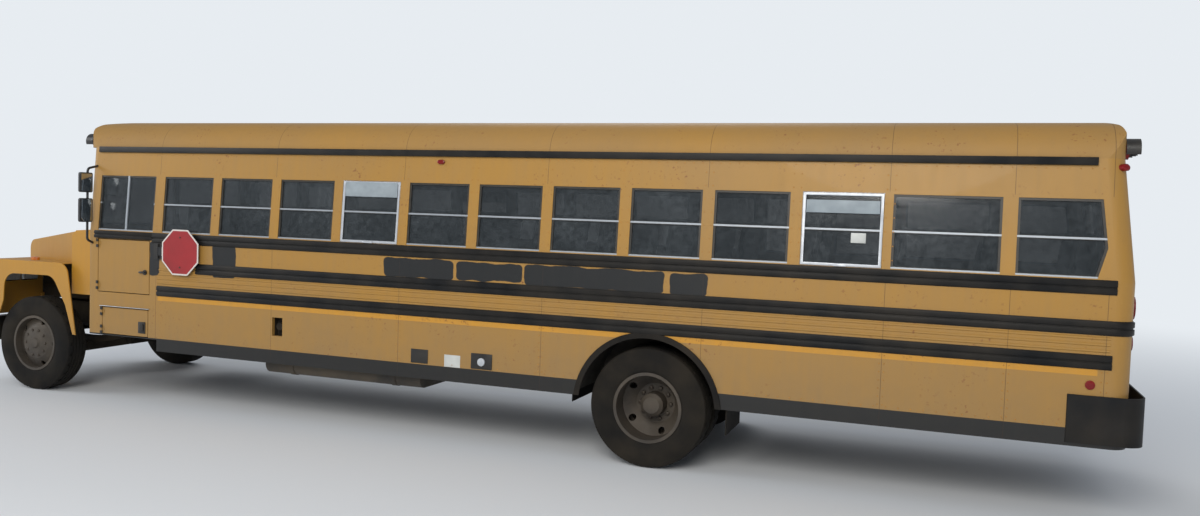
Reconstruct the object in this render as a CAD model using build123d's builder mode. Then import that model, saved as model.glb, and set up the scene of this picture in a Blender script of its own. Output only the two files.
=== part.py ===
"""Conventional school bus with a tilting nose, twin rear wheels and two-leaf entrance door.

The origin is on the ground under the middle of the vehicle. +X runs to the rear, -Y is the
driver's side and +Z is up. Sizes are in millimetres.
"""
from build123d import *
from math import atan2, cos, degrees, radians, sin, tan
import os

os.makedirs("parts", exist_ok=True)

# Body shell
overall_length = 11550
body_width = 2438
body_front = -4072
body_rear = 5668
wall = 40
skirt_bottom = 573
front_skirt_bottom = 690
belt_z = 1765
drip_z = 2648
crown_z = 2985
side_lean = 70
rear_lean = 100
crown_angle = 9.5
corner_radius = 130
front_corner_radius = 60
brow = 110
brow_radius = 170
end_radius = 190
front_seam = 100
rear_seam = 150
floor_top = 1080
floor_thickness = 40

# Running gear
wheelbase = 7010
front_axle_x = -4922
tyre_radius = 510
tyre_width = 260
rim_radius = 286
front_track = 2040
rear_track = 1760
dual_spacing = 330
kingpin_y = 860
kingpin_radius = 25
spindle_radius = 35
axle_end_radius = 55
pin_clearance = 0.3
arch_radius = 645
arch_skin = 12

# Frame
frame_half = 432
rail_height = 250
rail_flange = 75
rail_thickness = 8
frame_top = 915

# Windows
window_bottom = 1789
window_top = 2356
window_pitch = 711
window_width = 610
window_count = 10
first_window_x = -2779
frame_face = 18
frame_depth = 30
frame_recess = 6
sash_height = 22
glass_thickness = 6

# Nose
cowl_length = 350
cowl_half = 1100
cowl_bottom = 1080
cowl_top = 1763
cowl_skin = 25
cowl_slope = 60
cowl_rise = 20
hood_front = -5600
hood_gap = 10
hood_skin = 12
hood_rear_top = 1755
hood_front_top = 1600
hood_rear_half = 1000
hood_front_half = 620
fender_half = 1190
fender_top = 1410
fender_rear_top_x = -4402
fender_rear_bottom_x = -4270
fender_bottom = 650
fender_front_bottom = 780
grille_half = 470
grille_bottom = 985
grille_top = 1500
hood_hinge_x = -5585
hood_hinge_z = 730

# Rails along the sides
rail_proud = 14
rub_rail_height = 62
belt_rail_z = 1739
seat_rail_z = 1461
floor_rail_z = 1213

# Doors
door_gap = 8
hinge_radius = 9
hinge_pin_radius = 4
hinge_leaf = 26
hinge_plate = 3

# Seats
seat_rows = 12
seat_pitch = 711
first_seat_x = -2900
cushion_depth = 380
cushion_top = 1520
cushion_thickness = 110
bench_outer_y = 1145
bench_inner_y = 195
back_thickness = 75
back_top = 2100
back_rake = 90

# Worked out from the sizes above
half_length = overall_length / 2
half_width = body_width / 2
rear_axle_x = front_axle_x + wheelbase
axle_z = tyre_radius
floor_bottom = floor_top - floor_thickness
frame_bottom = frame_top - rail_height
lean = degrees(atan2(side_lean, drip_z - belt_z))
rear_tilt = degrees(atan2(rear_lean, drip_z - belt_z))
cowl_front = body_front - cowl_length
hood_rear = cowl_front - hood_gap
front_split = body_front + front_seam
rear_split = body_rear - rear_seam
roof_half = half_width - side_lean

# Rear edge of the last window: height, how far it stands out from the window's width
last_edge = [(window_bottom, -15), (2008, 44), (window_top, 0)]
# Windows in each side: centre along X, width, bar ("sash" lies, "slider" stands), rear edge
driver_window = (-3566, 730, "slider", [])
passenger_windows = [
    (first_window_x + i * window_pitch, window_width, "sash", []) for i in range(window_count)
] + [(4381, 771, "sash", []), (5148, 556, "sash", last_edge)]

# Planes of the leaning upper walls, seen from outside, with their origin at the belt
left_upper = Plane(
    origin=(0, -half_width, belt_z),
    x_dir=(1, 0, 0),
    z_dir=(0, -cos(radians(lean)), sin(radians(lean))),
)
rear_upper = Plane(
    origin=(body_rear, 0, belt_z),
    x_dir=(0, 1, 0),
    z_dir=(cos(radians(rear_tilt)), 0, sin(radians(rear_tilt))),
)


def up_side(z):
    """Distance up the leaning side wall from the belt to a height."""
    return (z - belt_z) / cos(radians(lean))


def up_rear(z):
    """Distance up the leaning rear wall from the belt to a height."""
    return (z - belt_z) / cos(radians(rear_tilt))


def block(x, y, z, mode=Mode.ADD):
    """Box between two limits on each axis."""
    with Locations(((x[0] + x[1]) / 2, (y[0] + y[1]) / 2, (z[0] + z[1]) / 2)):
        Box(x[1] - x[0], y[1] - y[0], z[1] - z[0], mode=mode)


def finish(piece, name):
    """Label a finished piece and write it."""
    piece.part.label = name
    export_step(piece.part, f"parts/{name}.step")


def plan_section(z, front, rear, half, front_radius, rear_radius):
    """Rounded plan of the body at one height."""
    with BuildSketch(Plane.XY.offset(z)) as section:
        with Locations(((front + rear) / 2, 0)):
            Rectangle(rear - front, 2 * half)
        fillet(section.vertices().group_by(Axis.X)[-1], rear_radius)
        fillet(section.vertices().group_by(Axis.X)[0], front_radius)
    return section.sketch


def roof_arc(half, base, crown):
    """Radii of the roof's edge and crown arcs, both tangent where they meet."""
    a, b = radians(lean), radians(crown_angle)
    k = tan(b / 2)
    edge = (crown - base - k * half) / ((cos(b) - sin(a)) + k * (sin(b) - cos(a)))
    centre_y = half - edge * cos(a)
    centre_z = base - edge * sin(a)
    return edge, centre_y, centre_z


def roof_section(half, base, crown):
    """Cross-section of the roof above the drip rail."""
    edge, centre_y, centre_z = roof_arc(half, base, crown)
    middle = radians((lean + 90 - crown_angle) / 2)
    end = radians(90 - crown_angle)
    mid_point = (centre_y + edge * cos(middle), centre_z + edge * sin(middle))
    end_point = (centre_y + edge * cos(end), centre_z + edge * sin(end))
    with BuildSketch(Plane.YZ) as section:
        with BuildLine():
            Line((-half, base), (half, base))
            ThreePointArc((half, base), mid_point, end_point)
            ThreePointArc(end_point, (0, crown), (-end_point[0], end_point[1]))
            ThreePointArc((-end_point[0], end_point[1]), (-mid_point[0], mid_point[1]), (-half, base))
        make_face()
    return section.sketch


def roof_profile(front, rear, base, crown, inset):
    """Side view of the roof, rising straight at each end before it turns over."""
    with BuildSketch(Plane.XZ) as profile:
        with BuildLine():
            Polyline((front, crown), (front, base), (rear, base), (rear, crown), close=True)
        make_face()
        fillet(profile.vertices().group_by(Axis.Y)[-1], end_radius - inset)
    return profile.sketch


def body_envelope(inset):
    """Solid of the closed body, drawn in by the inset at the sides, ends and roof."""
    rear_radius = corner_radius - inset
    front_radius = max(front_corner_radius - inset, 10)
    roof_front = body_front + inset if inset else body_front - brow
    roof_front_radius = front_radius if inset else brow_radius
    base = skirt_bottom - inset
    front, rear = body_front + inset, body_rear - inset
    profile = roof_profile(roof_front, rear - rear_lean, drip_z, crown_z - inset, inset)
    section = roof_section(roof_half - inset, drip_z, crown_z - inset)
    plan = plan_section(drip_z, roof_front, rear - rear_lean, roof_half - inset,
                        roof_front_radius, rear_radius)
    belt = plan_section(belt_z, front, rear, half_width - inset, front_radius, rear_radius)
    drip = plan_section(drip_z, front, rear - rear_lean, roof_half - inset, front_radius,
                        rear_radius)
    with BuildPart() as roof:
        extrude(profile, amount=half_width, both=True)
        extrude(section, amount=overall_length, both=True, mode=Mode.INTERSECT)
        extrude(plan, amount=crown_z - drip_z, mode=Mode.INTERSECT)
    with BuildPart() as envelope:
        extrude(belt, amount=-(belt_z - base))
        loft([belt.face(), drip.face()], ruled=True)
        add(roof.part)
    return envelope.part


outer_body = body_envelope(0)
inner_body = body_envelope(wall)
with BuildPart() as body_shell:
    add(outer_body)
    add(inner_body, mode=Mode.SUBTRACT)


def edge_at(edge, v):
    """How far a window's rear edge stands out at a distance up the wall."""
    for (low, low_out), (high, high_out) in zip(edge, edge[1:]):
        if up_side(low) <= v <= up_side(high):
            return low_out + (high_out - low_out) * (v - up_side(low)) / (up_side(high) - up_side(low))
    return 0


def pane_outline(pane, mode=Mode.ADD):
    """Outline of one pane, whose rear edge follows the window's."""
    left, right, bottom, top, edge = pane
    heights = [bottom] + [up_side(z) for z, out in edge if bottom < up_side(z) < top] + [top]
    points = [(left, bottom)] + [(right + edge_at(edge, v), v) for v in heights] + [(left, top)]
    Polygon(*points, align=None, mode=mode)


def window_outline(window):
    """Outline of one side window's opening on the leaning wall's plane."""
    x, width, bar, edge = window
    pane_outline((x - width / 2, x + width / 2, up_side(window_bottom), up_side(window_top), edge))


# Doors in the left wall: low X, high X, low Z, high Z
access_door_box = (-3927, -3233, 1141, 1700)
battery_door_box = (-3865, -3245, 701, 990)
filler_box = (-1706, -1586, 841, 1021)


def side_wall(windows):
    """One side wall, drawn on the driver's side, with its arch, windows and pressed ribs."""
    add(body_shell.part)
    block((front_split, rear_split), (-half_width, -half_width / 2), (skirt_bottom, drip_z),
          mode=Mode.INTERSECT)
    rib_front, rib_rear = first_window_x - window_pitch / 2, rear_split
    with BuildSketch(Plane.YZ.offset(rib_front)) as ribs:
        for z in range(rib_low, rib_high + 1, rib_pitch):
            Polygon((-half_width + 1, z - rib_height / 2), (-half_width, z - rib_height / 2),
                    (-half_width - rib_proud, z - rib_height / 4),
                    (-half_width - rib_proud, z + rib_height / 4),
                    (-half_width, z + rib_height / 2), (-half_width + 1, z + rib_height / 2),
                    align=None)
    extrude(ribs.sketch, amount=rib_rear - rib_front)
    with BuildSketch(left_upper.offset(wall)) as openings:
        for window in windows:
            window_outline(window)
    extrude(openings.sketch, amount=-3 * wall, mode=Mode.SUBTRACT)
    with BuildSketch(Plane.XZ.offset(half_width - 2 * wall)) as arch:
        with Locations((rear_axle_x, axle_z)):
            Circle(arch_radius)
    extrude(arch.sketch, amount=4 * wall, mode=Mode.SUBTRACT)
    block((front_split - 1, first_window_x - window_pitch / 2), (-half_width - 1, 0),
          (skirt_bottom - 1, front_skirt_bottom), mode=Mode.SUBTRACT)


rib_low = 1275
rib_high = 1410
rib_pitch = 45
rib_height = 24
rib_proud = 6

with BuildPart() as side_wall_left:
    side_wall(passenger_windows + [driver_window])
    for low_x, high_x, low_z, high_z in (access_door_box, battery_door_box, filler_box):
        block((low_x, high_x), (-half_width - 1, -half_width + 2 * wall), (low_z, high_z),
              mode=Mode.SUBTRACT)
finish(side_wall_left, "side_wall_left")

# Entrance on the kerb side
entrance_front = -3962
entrance_rear = -3162
entrance_top = 2520
entrance_post = 50
entrance_depth = 100
entrance_sill = 400

with BuildPart() as side_wall_right:
    side_wall(passenger_windows)
    block((entrance_front, entrance_rear), (-half_width - 1, 0), (skirt_bottom - 1, entrance_top),
          mode=Mode.SUBTRACT)
    mirror(about=Plane.XZ, mode=Mode.REPLACE)
finish(side_wall_right, "side_wall_right")

with BuildPart() as roof_shell:
    add(body_shell.part)
    block((-half_length, half_length), (-half_width, half_width), (drip_z, crown_z + 1),
          mode=Mode.INTERSECT)
finish(roof_shell, "roof_shell")

# Windshield panes: low Y, high Y
windshield_bottom = 1840
windshield_top = 2500
windshield_panes = ((-1070, -30), (30, 1070))
cowl_opening_half = 1060
tunnel_half = 620

with BuildPart() as front_wall:
    add(body_shell.part)
    block((body_front, front_split), (-half_width, half_width), (front_skirt_bottom, drip_z),
          mode=Mode.INTERSECT)
    for low_y, high_y in windshield_panes:
        block((body_front - 1, body_front + wall + 1), (low_y, high_y),
              (windshield_bottom, windshield_top), mode=Mode.SUBTRACT)
    block((body_front - 1, front_split + 1), (-cowl_opening_half, cowl_opening_half),
          (cowl_bottom + cowl_skin, cowl_top - cowl_skin), mode=Mode.SUBTRACT)
    block((body_front - 1, front_split + 1), (-tunnel_half, tunnel_half),
          (skirt_bottom, floor_bottom), mode=Mode.SUBTRACT)
finish(front_wall, "front_wall")

# Rear door opening and the windows beside it
rear_door_half = 450
rear_door_bottom = 1100
rear_door_top = 2500
rear_free_gap = 16
rear_window_inner = 570
rear_window_outer = 1050
rear_notch_half = 570

with BuildPart() as rear_wall:
    add(body_shell.part)
    block((rear_split, body_rear + 1), (-half_width, half_width), (skirt_bottom, drip_z),
          mode=Mode.INTERSECT)
    block((rear_split, body_rear + 1), (-rear_door_half, rear_door_half),
          (rear_door_bottom, rear_door_top), mode=Mode.SUBTRACT)
    with BuildSketch(rear_upper.offset(wall)):
        for side in (-1, 1):
            with Locations((side * (rear_window_inner + rear_window_outer) / 2,
                            (up_rear(window_bottom) + up_rear(window_top)) / 2)):
                Rectangle(rear_window_outer - rear_window_inner,
                          up_rear(window_top) - up_rear(window_bottom))
    extrude(amount=-3 * wall, mode=Mode.SUBTRACT)
    block((rear_split - 1, body_rear + 1), (-rear_notch_half, rear_notch_half),
          (skirt_bottom - 1, frame_top + 10), mode=Mode.SUBTRACT)
finish(rear_wall, "rear_wall")

# Cowl between the nose and the body
with BuildPart() as cowl:
    with BuildSketch(Plane.XZ):
        Polygon((body_front, cowl_bottom), (body_front, cowl_top + cowl_rise),
                (cowl_front + cowl_slope, cowl_top), (cowl_front, cowl_top - cowl_slope),
                (cowl_front, cowl_bottom), align=None)
    extrude(amount=cowl_half, both=True)
    with BuildSketch(Plane.XZ):
        Polygon((body_front, cowl_bottom + cowl_skin), (body_front, cowl_top - cowl_skin),
                (cowl_front + cowl_slope, cowl_top - cowl_skin),
                (cowl_front + cowl_skin, cowl_top - cowl_slope - cowl_skin),
                (cowl_front + cowl_skin, cowl_bottom + cowl_skin), align=None)
    extrude(amount=cowl_half - cowl_skin, both=True, mode=Mode.SUBTRACT)
finish(cowl, "cowl")

# Floor with its cross sills and the housings over the rear wheels
sill_width = 60
sill_positions = [-3940, -3000, -2300, -1500, -900, -200, 500, 1415, 2765, 3680, 4380, 5080]
housing_inner_y = 560
step_depth = 230
step_count = 3
step_inner_y = half_width - wall - step_count * step_depth
step_front = entrance_front + entrance_post
step_rear = entrance_rear - entrance_post

housing_foot = 600
housing_width = half_width - wall - housing_inner_y

with BuildPart() as housing_hollow:
    with Locations(Location((rear_axle_x, -half_width + wall + (housing_width - arch_skin) / 2, axle_z),
                            (90, 0, 0))):
        Cylinder(arch_radius, housing_width - arch_skin)

with BuildPart() as wheel_housing:
    with Locations(Location((rear_axle_x, -half_width + wall + housing_width / 2, axle_z), (90, 0, 0))):
        Cylinder(arch_radius + arch_skin, housing_width)
    add(housing_hollow.part, mode=Mode.SUBTRACT)
    block((body_front, body_rear), (-half_width, 0), (-tyre_radius, housing_foot), mode=Mode.SUBTRACT)

with BuildPart() as floor_pan:
    add(inner_body)
    block((-half_length, half_length), (-half_width, half_width), (floor_bottom, floor_top),
          mode=Mode.INTERSECT)
    for side in (housing_hollow.part, mirror(housing_hollow.part, about=Plane.XZ, mode=Mode.PRIVATE)):
        add(side, mode=Mode.SUBTRACT)
    for side in (wheel_housing.part, mirror(wheel_housing.part, about=Plane.XZ, mode=Mode.PRIVATE)):
        add(side)
    block((step_front, step_rear), (step_inner_y, half_width), (floor_bottom - 1, floor_top + 1),
          mode=Mode.SUBTRACT)
finish(floor_pan, "floor_pan")

# Steps inside the entrance, folded from sheet
step_skin = 8
step_rise = (floor_top - entrance_sill) / step_count

with BuildPart() as stepwell:
    for i in range(step_count):
        edge_y = step_inner_y + i * step_depth
        top_z = floor_top - i * step_rise
        block((step_front, step_rear), (edge_y, edge_y + step_skin), (top_z - step_rise, top_z))
        block((step_front, step_rear), (edge_y, edge_y + step_depth),
              (top_z - step_rise - step_skin, top_z - step_rise))
    for x in (step_front, step_rear - step_skin):
        with BuildSketch(Plane.YZ.offset(x)):
            with BuildLine():
                Polyline((step_inner_y, floor_bottom), (step_inner_y, floor_top - step_rise - step_skin),
                         (step_inner_y + step_depth, floor_top - 2 * step_rise - step_skin),
                         (step_inner_y + 2 * step_depth, entrance_sill - step_skin),
                         (half_width - wall, entrance_sill - step_skin),
                         (half_width - wall, floor_bottom), close=True)
            make_face()
        extrude(amount=step_skin)
finish(stepwell, "stepwell")

# Portal that carries the entrance door
with BuildPart() as entrance_frame:
    block((entrance_front, entrance_rear), (half_width - entrance_depth, half_width),
          (entrance_sill - step_skin, entrance_top))
    block((entrance_front + entrance_post, entrance_rear - entrance_post),
          (half_width - entrance_depth - 1, half_width + 1),
          (entrance_sill - step_skin - 1, entrance_top - entrance_post), mode=Mode.SUBTRACT)
    add(floor_pan.part, mode=Mode.SUBTRACT)
    add(stepwell.part, mode=Mode.SUBTRACT)
    add(side_wall_right.part, mode=Mode.SUBTRACT)
    add(roof_shell.part, mode=Mode.SUBTRACT)
finish(entrance_frame, "entrance_frame")

# Side windows: frames with their bars, and the panes in them
def side_panes(window):
    """Panes of one side window, each with its low and high limits on the wall's plane."""
    x, width, bar, edge = window
    left, right = x - width / 2 + frame_face, x + width / 2 - frame_face
    bottom, top = up_side(window_bottom) + frame_face, up_side(window_top) - frame_face
    middle_x, middle_v = (left + right) / 2, (bottom + top) / 2
    if bar == "slider":
        return [(left, middle_x - sash_height / 2, bottom, top, edge),
                (middle_x + sash_height / 2, right, bottom, top, edge)]
    return [(left, right, bottom, middle_v - sash_height / 2, edge),
            (left, right, middle_v + sash_height / 2, top, edge)]


def frame_rings(windows):
    """Aluminium frames of some windows of the driver's side."""
    with BuildSketch(left_upper.offset(-frame_recess)) as rings:
        for window in windows:
            window_outline(window)
        for window in windows:
            for pane in side_panes(window):
                pane_outline(pane, mode=Mode.SUBTRACT)
    extrude(rings.sketch, amount=-frame_depth)


def glass_panes(windows):
    """Panes of some windows of the driver's side."""
    depth = frame_recess + (frame_depth - glass_thickness) / 2
    with BuildSketch(left_upper.offset(-depth)) as panes:
        for window in windows:
            for pane in side_panes(window):
                pane_outline(pane)
    extrude(panes.sketch, amount=-glass_thickness)


with BuildPart() as window_frames:
    frame_rings(passenger_windows)
    mirror(about=Plane.XZ)
    frame_rings([driver_window])
finish(window_frames, "window_frames")

with BuildPart() as window_glass:
    glass_panes(passenger_windows)
    mirror(about=Plane.XZ)
    glass_panes([driver_window])
    for low_y, high_y in windshield_panes:
        block((body_front + wall / 2, body_front + wall / 2 + glass_thickness), (low_y, high_y),
              (windshield_bottom, windshield_top))
    with BuildSketch(rear_upper.offset(-wall / 2)):
        for side in (-1, 1):
            with Locations((side * (rear_window_inner + rear_window_outer) / 2,
                            (up_rear(window_bottom) + up_rear(window_top)) / 2)):
                Rectangle(rear_window_outer - rear_window_inner,
                          up_rear(window_top) - up_rear(window_bottom))
    extrude(amount=glass_thickness)
finish(window_glass, "window_glass")

# Rails along the sides: centre height, front end, rear end, whether it turns the rear corner
side_rails = [
    (belt_rail_z, front_split, 5540, False),
    (seat_rail_z, -2640, body_rear - corner_radius, True),
    (floor_rail_z, -3133, 5533, False),
]
rib_edge = 5
rib_groove = 4
drip_height = 26
drip_proud = 22
drip_rear = 5380


def rail_outline(z, x, height, proud):
    """Section of a rub rail, two ribs with a groove between them."""
    half = height / 2
    with BuildSketch(Plane(origin=(x, -half_width, z), x_dir=(0, -1, 0), z_dir=(1, 0, 0))) as outline:
        Polygon((0, -half), (proud, -half + rib_edge), (proud, -rib_groove), (proud - rib_edge, 0),
                (proud, rib_groove), (proud, half - rib_edge), (0, half), align=None)
    return outline.sketch


with BuildPart() as rub_rails:
    for z, front, rear, turns in side_rails:
        section = rail_outline(z, front, rub_rail_height, rail_proud)
        extrude(section, amount=rear - front)
        if turns:
            end = rail_outline(z, rear, rub_rail_height, rail_proud)
            corner = Axis((rear, -half_width + corner_radius, z), (0, 0, 1))
            revolve(end, axis=corner, revolution_arc=90)
    with BuildSketch(Plane.YZ.offset(front_split)):
        with BuildLine():
            Polyline((-roof_half, drip_z - drip_height), (-roof_half - drip_proud, drip_z - drip_height / 2),
                     (-roof_half - drip_proud, drip_z), (-roof_half, drip_z), close=True)
        make_face()
    extrude(amount=drip_rear - front_split)
    add(body_shell.part, mode=Mode.SUBTRACT)
    mirror(about=Plane.XZ)
    block((entrance_front, entrance_rear), (half_width - 1, half_width + 2 * rail_proud),
          (skirt_bottom, belt_z + rub_rail_height), mode=Mode.SUBTRACT)
finish(rub_rails, "rub_rails")

# Rubber lips round the rear arches
lip_width = 48
lip_proud = 12
with BuildPart() as arch_lips:
    for start in (-half_width, half_width + lip_proud):
        with BuildSketch(Plane.XZ.offset(-start)):
            with Locations((rear_axle_x, axle_z)):
                Circle(arch_radius)
                Circle(arch_radius - lip_width, mode=Mode.SUBTRACT)
            with Locations((rear_axle_x, skirt_bottom - arch_radius)):
                Rectangle(3 * arch_radius, 2 * arch_radius, mode=Mode.SUBTRACT)
        extrude(amount=lip_proud)
finish(arch_lips, "arch_lips")

# Ladder frame
dipped_cross = -4435
cross_positions = [-5570, -3350, -2250, -1150, -50, 850, 1600, 2650, 3750, 4850, 5600]
cross_width = 70
cross_height = 190
bumper_depth = 110
frame_front = -half_length + bumper_depth
bumper_skin = 12
frame_rear = half_length - bumper_skin
tow_radius = 19
tow_plate = 16
tow_inset = 330
tow_drop = 120
tow_plate_length = 120
tow_plate_height = 250
tow_plate_lap = 80
hinge_boss = 24
hinge_boss_radius = 28
hood_pin = 72
hood_pin_radius = 12

with BuildPart() as ladder_frame:
    with BuildSketch(Plane.YZ.offset(frame_front)):
        for side in (-1, 1):
            with Locations((side * (frame_half - rail_flange / 2), frame_top - rail_height / 2)):
                Rectangle(rail_flange, rail_height)
            with Locations((side * (frame_half - rail_flange / 2 - rail_thickness),
                            frame_top - rail_height / 2)):
                Rectangle(rail_flange, rail_height - 2 * rail_thickness, mode=Mode.SUBTRACT)
    extrude(amount=frame_rear - frame_front)
    for side in (-1, 1):
        with Locations((frame_rear - tow_inset, side * (frame_half + tow_plate / 2),
                        frame_bottom + tow_plate_lap - tow_plate_height / 2)):
            Box(tow_plate_length, tow_plate, tow_plate_height)
        with Locations(Location((frame_rear - tow_inset, side * (frame_half + tow_plate / 2),
                                 frame_bottom - tow_drop), (90, 0, 0))):
            Cylinder(tow_radius, 2 * tow_plate, mode=Mode.SUBTRACT)
        with Locations(Location((hood_hinge_x, side * (frame_half + hinge_boss / 2), hood_hinge_z),
                                (90, 0, 0))):
            Cylinder(hinge_boss_radius, hinge_boss)
        with Locations(Location((hood_hinge_x, side * (frame_half + hinge_boss + hood_pin / 2 - 24),
                                 hood_hinge_z), (90, 0, 0))):
            Cylinder(hood_pin_radius, hood_pin)
finish(ladder_frame, "ladder_frame")

# Beams across: the frame's channels, the dipped one under the bell housing, and the floor's sills
with BuildPart() as cross_members:
    for x in cross_positions:
        with BuildSketch(Plane.XZ.offset(-frame_half + rail_thickness)):
            with Locations((x, frame_top - rail_height / 2)):
                Rectangle(cross_width, cross_height)
            with Locations((x + rail_thickness, frame_top - rail_height / 2)):
                Rectangle(cross_width, cross_height - 2 * rail_thickness, mode=Mode.SUBTRACT)
        extrude(amount=2 * (frame_half - rail_thickness))
    with BuildSketch(Plane.YZ.offset(dipped_cross - cross_width / 2)):
        with BuildLine():
            Polyline((frame_half - rail_thickness, 860), (frame_half - rail_thickness, 690), (345, 640),
                     (300, 440), (-300, 440), (-345, 640), (-frame_half + rail_thickness, 690),
                     (-frame_half + rail_thickness, 860), (-376, 860), (-376, 720), (-300, 665),
                     (-265, 490), (265, 490), (300, 665), (376, 720), (376, 860), close=True)
        make_face()
    extrude(amount=cross_width)
    for x in sill_positions:
        block((x - sill_width / 2, x + sill_width / 2), (-half_width + wall, half_width - wall),
              (frame_top, floor_bottom))
    for cut in (housing_hollow.part, wheel_housing.part):
        add(cut, mode=Mode.SUBTRACT)
        add(mirror(cut, about=Plane.XZ, mode=Mode.PRIVATE), mode=Mode.SUBTRACT)
    block((step_front, step_rear), (step_inner_y, half_width), (frame_top - 1, floor_bottom + 1),
          mode=Mode.SUBTRACT)
    add(entrance_frame.part, mode=Mode.SUBTRACT)
    add(ladder_frame.part, mode=Mode.SUBTRACT)
finish(cross_members, "cross_members")

# Bumpers
front_bumper_half = 1180
front_bumper_bottom = 470
front_bumper_top = 740
rear_bumper_bottom = 600
rear_bumper_top = 950
rear_bumper_front = 5257
bumper_sweep = 50
bumper_corner = 220

with BuildPart() as front_bumper:
    with BuildSketch(Plane.XY.offset(front_bumper_bottom)):
        with BuildLine():
            Polyline((frame_front, -front_bumper_half), (-half_length + bumper_sweep, -front_bumper_half),
                     (-half_length, -front_bumper_half + bumper_corner),
                     (-half_length, front_bumper_half - bumper_corner),
                     (-half_length + bumper_sweep, front_bumper_half), (frame_front, front_bumper_half),
                     close=True)
        make_face()
    extrude(amount=front_bumper_top - front_bumper_bottom)
    with BuildSketch(Plane.XY.offset(front_bumper_bottom + bumper_skin)):
        with BuildLine():
            Polyline((frame_front, -front_bumper_half + bumper_skin),
                     (-half_length + bumper_sweep + bumper_skin, -front_bumper_half + bumper_skin),
                     (-half_length + bumper_skin, -front_bumper_half + bumper_corner + bumper_skin),
                     (-half_length + bumper_skin, front_bumper_half - bumper_corner - bumper_skin),
                     (-half_length + bumper_sweep + bumper_skin, front_bumper_half - bumper_skin),
                     (frame_front, front_bumper_half - bumper_skin), close=True)
        make_face()
    extrude(amount=front_bumper_top - front_bumper_bottom - 2 * bumper_skin, mode=Mode.SUBTRACT)
    for side in (-1, 1):
        block((-half_length + bumper_skin / 2, frame_front),
              (side * frame_half - bumper_skin / 2, side * frame_half + bumper_skin / 2),
              (front_bumper_bottom + 2, front_bumper_top - 2))
finish(front_bumper, "front_bumper")

with BuildPart() as rear_bumper:
    extrude(plan_section(rear_bumper_bottom, rear_bumper_front, half_length, half_width + bumper_skin,
                         bumper_skin, corner_radius + bumper_skin),
            amount=rear_bumper_top - rear_bumper_bottom)
    extrude(plan_section(rear_bumper_bottom, rear_bumper_front - half_length, half_length - bumper_skin,
                         half_width, bumper_skin, corner_radius),
            amount=rear_bumper_top - rear_bumper_bottom, mode=Mode.SUBTRACT)
finish(rear_bumper, "rear_bumper")

# Engine, radiator, gearbox and propeller shaft
engine_front = -5450
engine_rear = -4500
engine_half = 320
engine_foot = 60
engine_bottom = 610
engine_top = 1330
with BuildPart() as engine_block:
    block((engine_front, engine_rear), (-engine_half, engine_half), (engine_bottom, engine_top))
    for side in (-1, 1):
        foot_y = sorted((side * engine_half, side * (frame_half - rail_thickness)))
        block((engine_front + 240, engine_front + 340), foot_y,
              (frame_top - rail_height / 2 - engine_foot, frame_top - rail_height / 2))
finish(engine_block, "engine_block")

radiator_front = -5560
radiator_depth = 60
radiator_top = 1480
with BuildPart() as radiator:
    block((radiator_front, radiator_front + radiator_depth), (-frame_half, frame_half),
          (frame_top, radiator_top))
finish(radiator, "radiator")

shaft_radius = 48
gearbox_rear = -3640
diff_radius = 190
diff_length = 230
shaft_z = 600
# Bell housing and gearbox tail: height, then width, depth and corner radius
bell_z, bell_size = 700, (420, 360, 60)
tail_z, tail_size = 640, (240, 220, 40)
with BuildPart() as drive_shaft:
    with BuildSketch(Plane.YZ.offset(engine_rear)):
        with Locations((0, bell_z)):
            RectangleRounded(*bell_size)
    with BuildSketch(Plane.YZ.offset(gearbox_rear)):
        with Locations((0, tail_z)):
            RectangleRounded(*tail_size)
    loft()
    with BuildSketch(Plane.YZ.offset(gearbox_rear)):
        with Locations((0, shaft_z)):
            Circle(shaft_radius)
    extrude(amount=rear_axle_x - diff_length - gearbox_rear)
    for x in (-2250, -50):
        with Locations((x, 0, frame_bottom - 20)):
            Box(60, 180, 90)
finish(drive_shaft, "drive_shaft")

# Axles with their leaf springs
spring_y = frame_half - rail_flange / 2
hanger = 80
beam_depth = 90
beam_low = 460
beam_high = 560
beam_drop = 110
axle_half = 1000


def spring(x, half_span, low, high, end_low, end_high):
    """One pack of leaves bent under the rail, with its two hangers."""
    with BuildSketch(Plane.XZ.offset(-spring_y - rail_flange / 2)) as leaves:
        with BuildLine():
            ThreePointArc((x - half_span, end_low), (x, low), (x + half_span, end_low))
            Line((x + half_span, end_low), (x + half_span, end_high))
            ThreePointArc((x + half_span, end_high), (x, high), (x - half_span, end_high))
            Line((x - half_span, end_high), (x - half_span, end_low))
        make_face()
    extrude(leaves.sketch, amount=rail_flange)
    for end in (x - half_span, x + half_span):
        block((end - hanger / 2, end + hanger / 2),
              (spring_y - rail_flange / 2, spring_y + rail_flange / 2), (end_low - 10, frame_bottom))


with BuildPart() as front_axle:
    with BuildSketch(Plane.YZ.offset(front_axle_x - beam_depth / 2)):
        with BuildLine():
            Polyline((-kingpin_y, beam_high), (-760, beam_high), (-620, beam_high - beam_drop),
                     (620, beam_high - beam_drop), (760, beam_high), (kingpin_y, beam_high),
                     (kingpin_y, beam_low), (790, beam_low), (650, beam_low - beam_drop),
                     (-650, beam_low - beam_drop), (-790, beam_low), (-kingpin_y, beam_low), close=True)
        make_face()
    extrude(amount=beam_depth)
    for side in (-1, 1):
        with Locations((front_axle_x, side * kingpin_y, (beam_low + beam_high) / 2)):
            Cylinder(beam_depth / 2, 100)
            Cylinder(kingpin_radius + pin_clearance, 300, mode=Mode.SUBTRACT)
    spring(front_axle_x, 640, 446, 520, 580, 630)
    mirror(about=Plane.XZ)
finish(front_axle, "front_axle")

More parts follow.
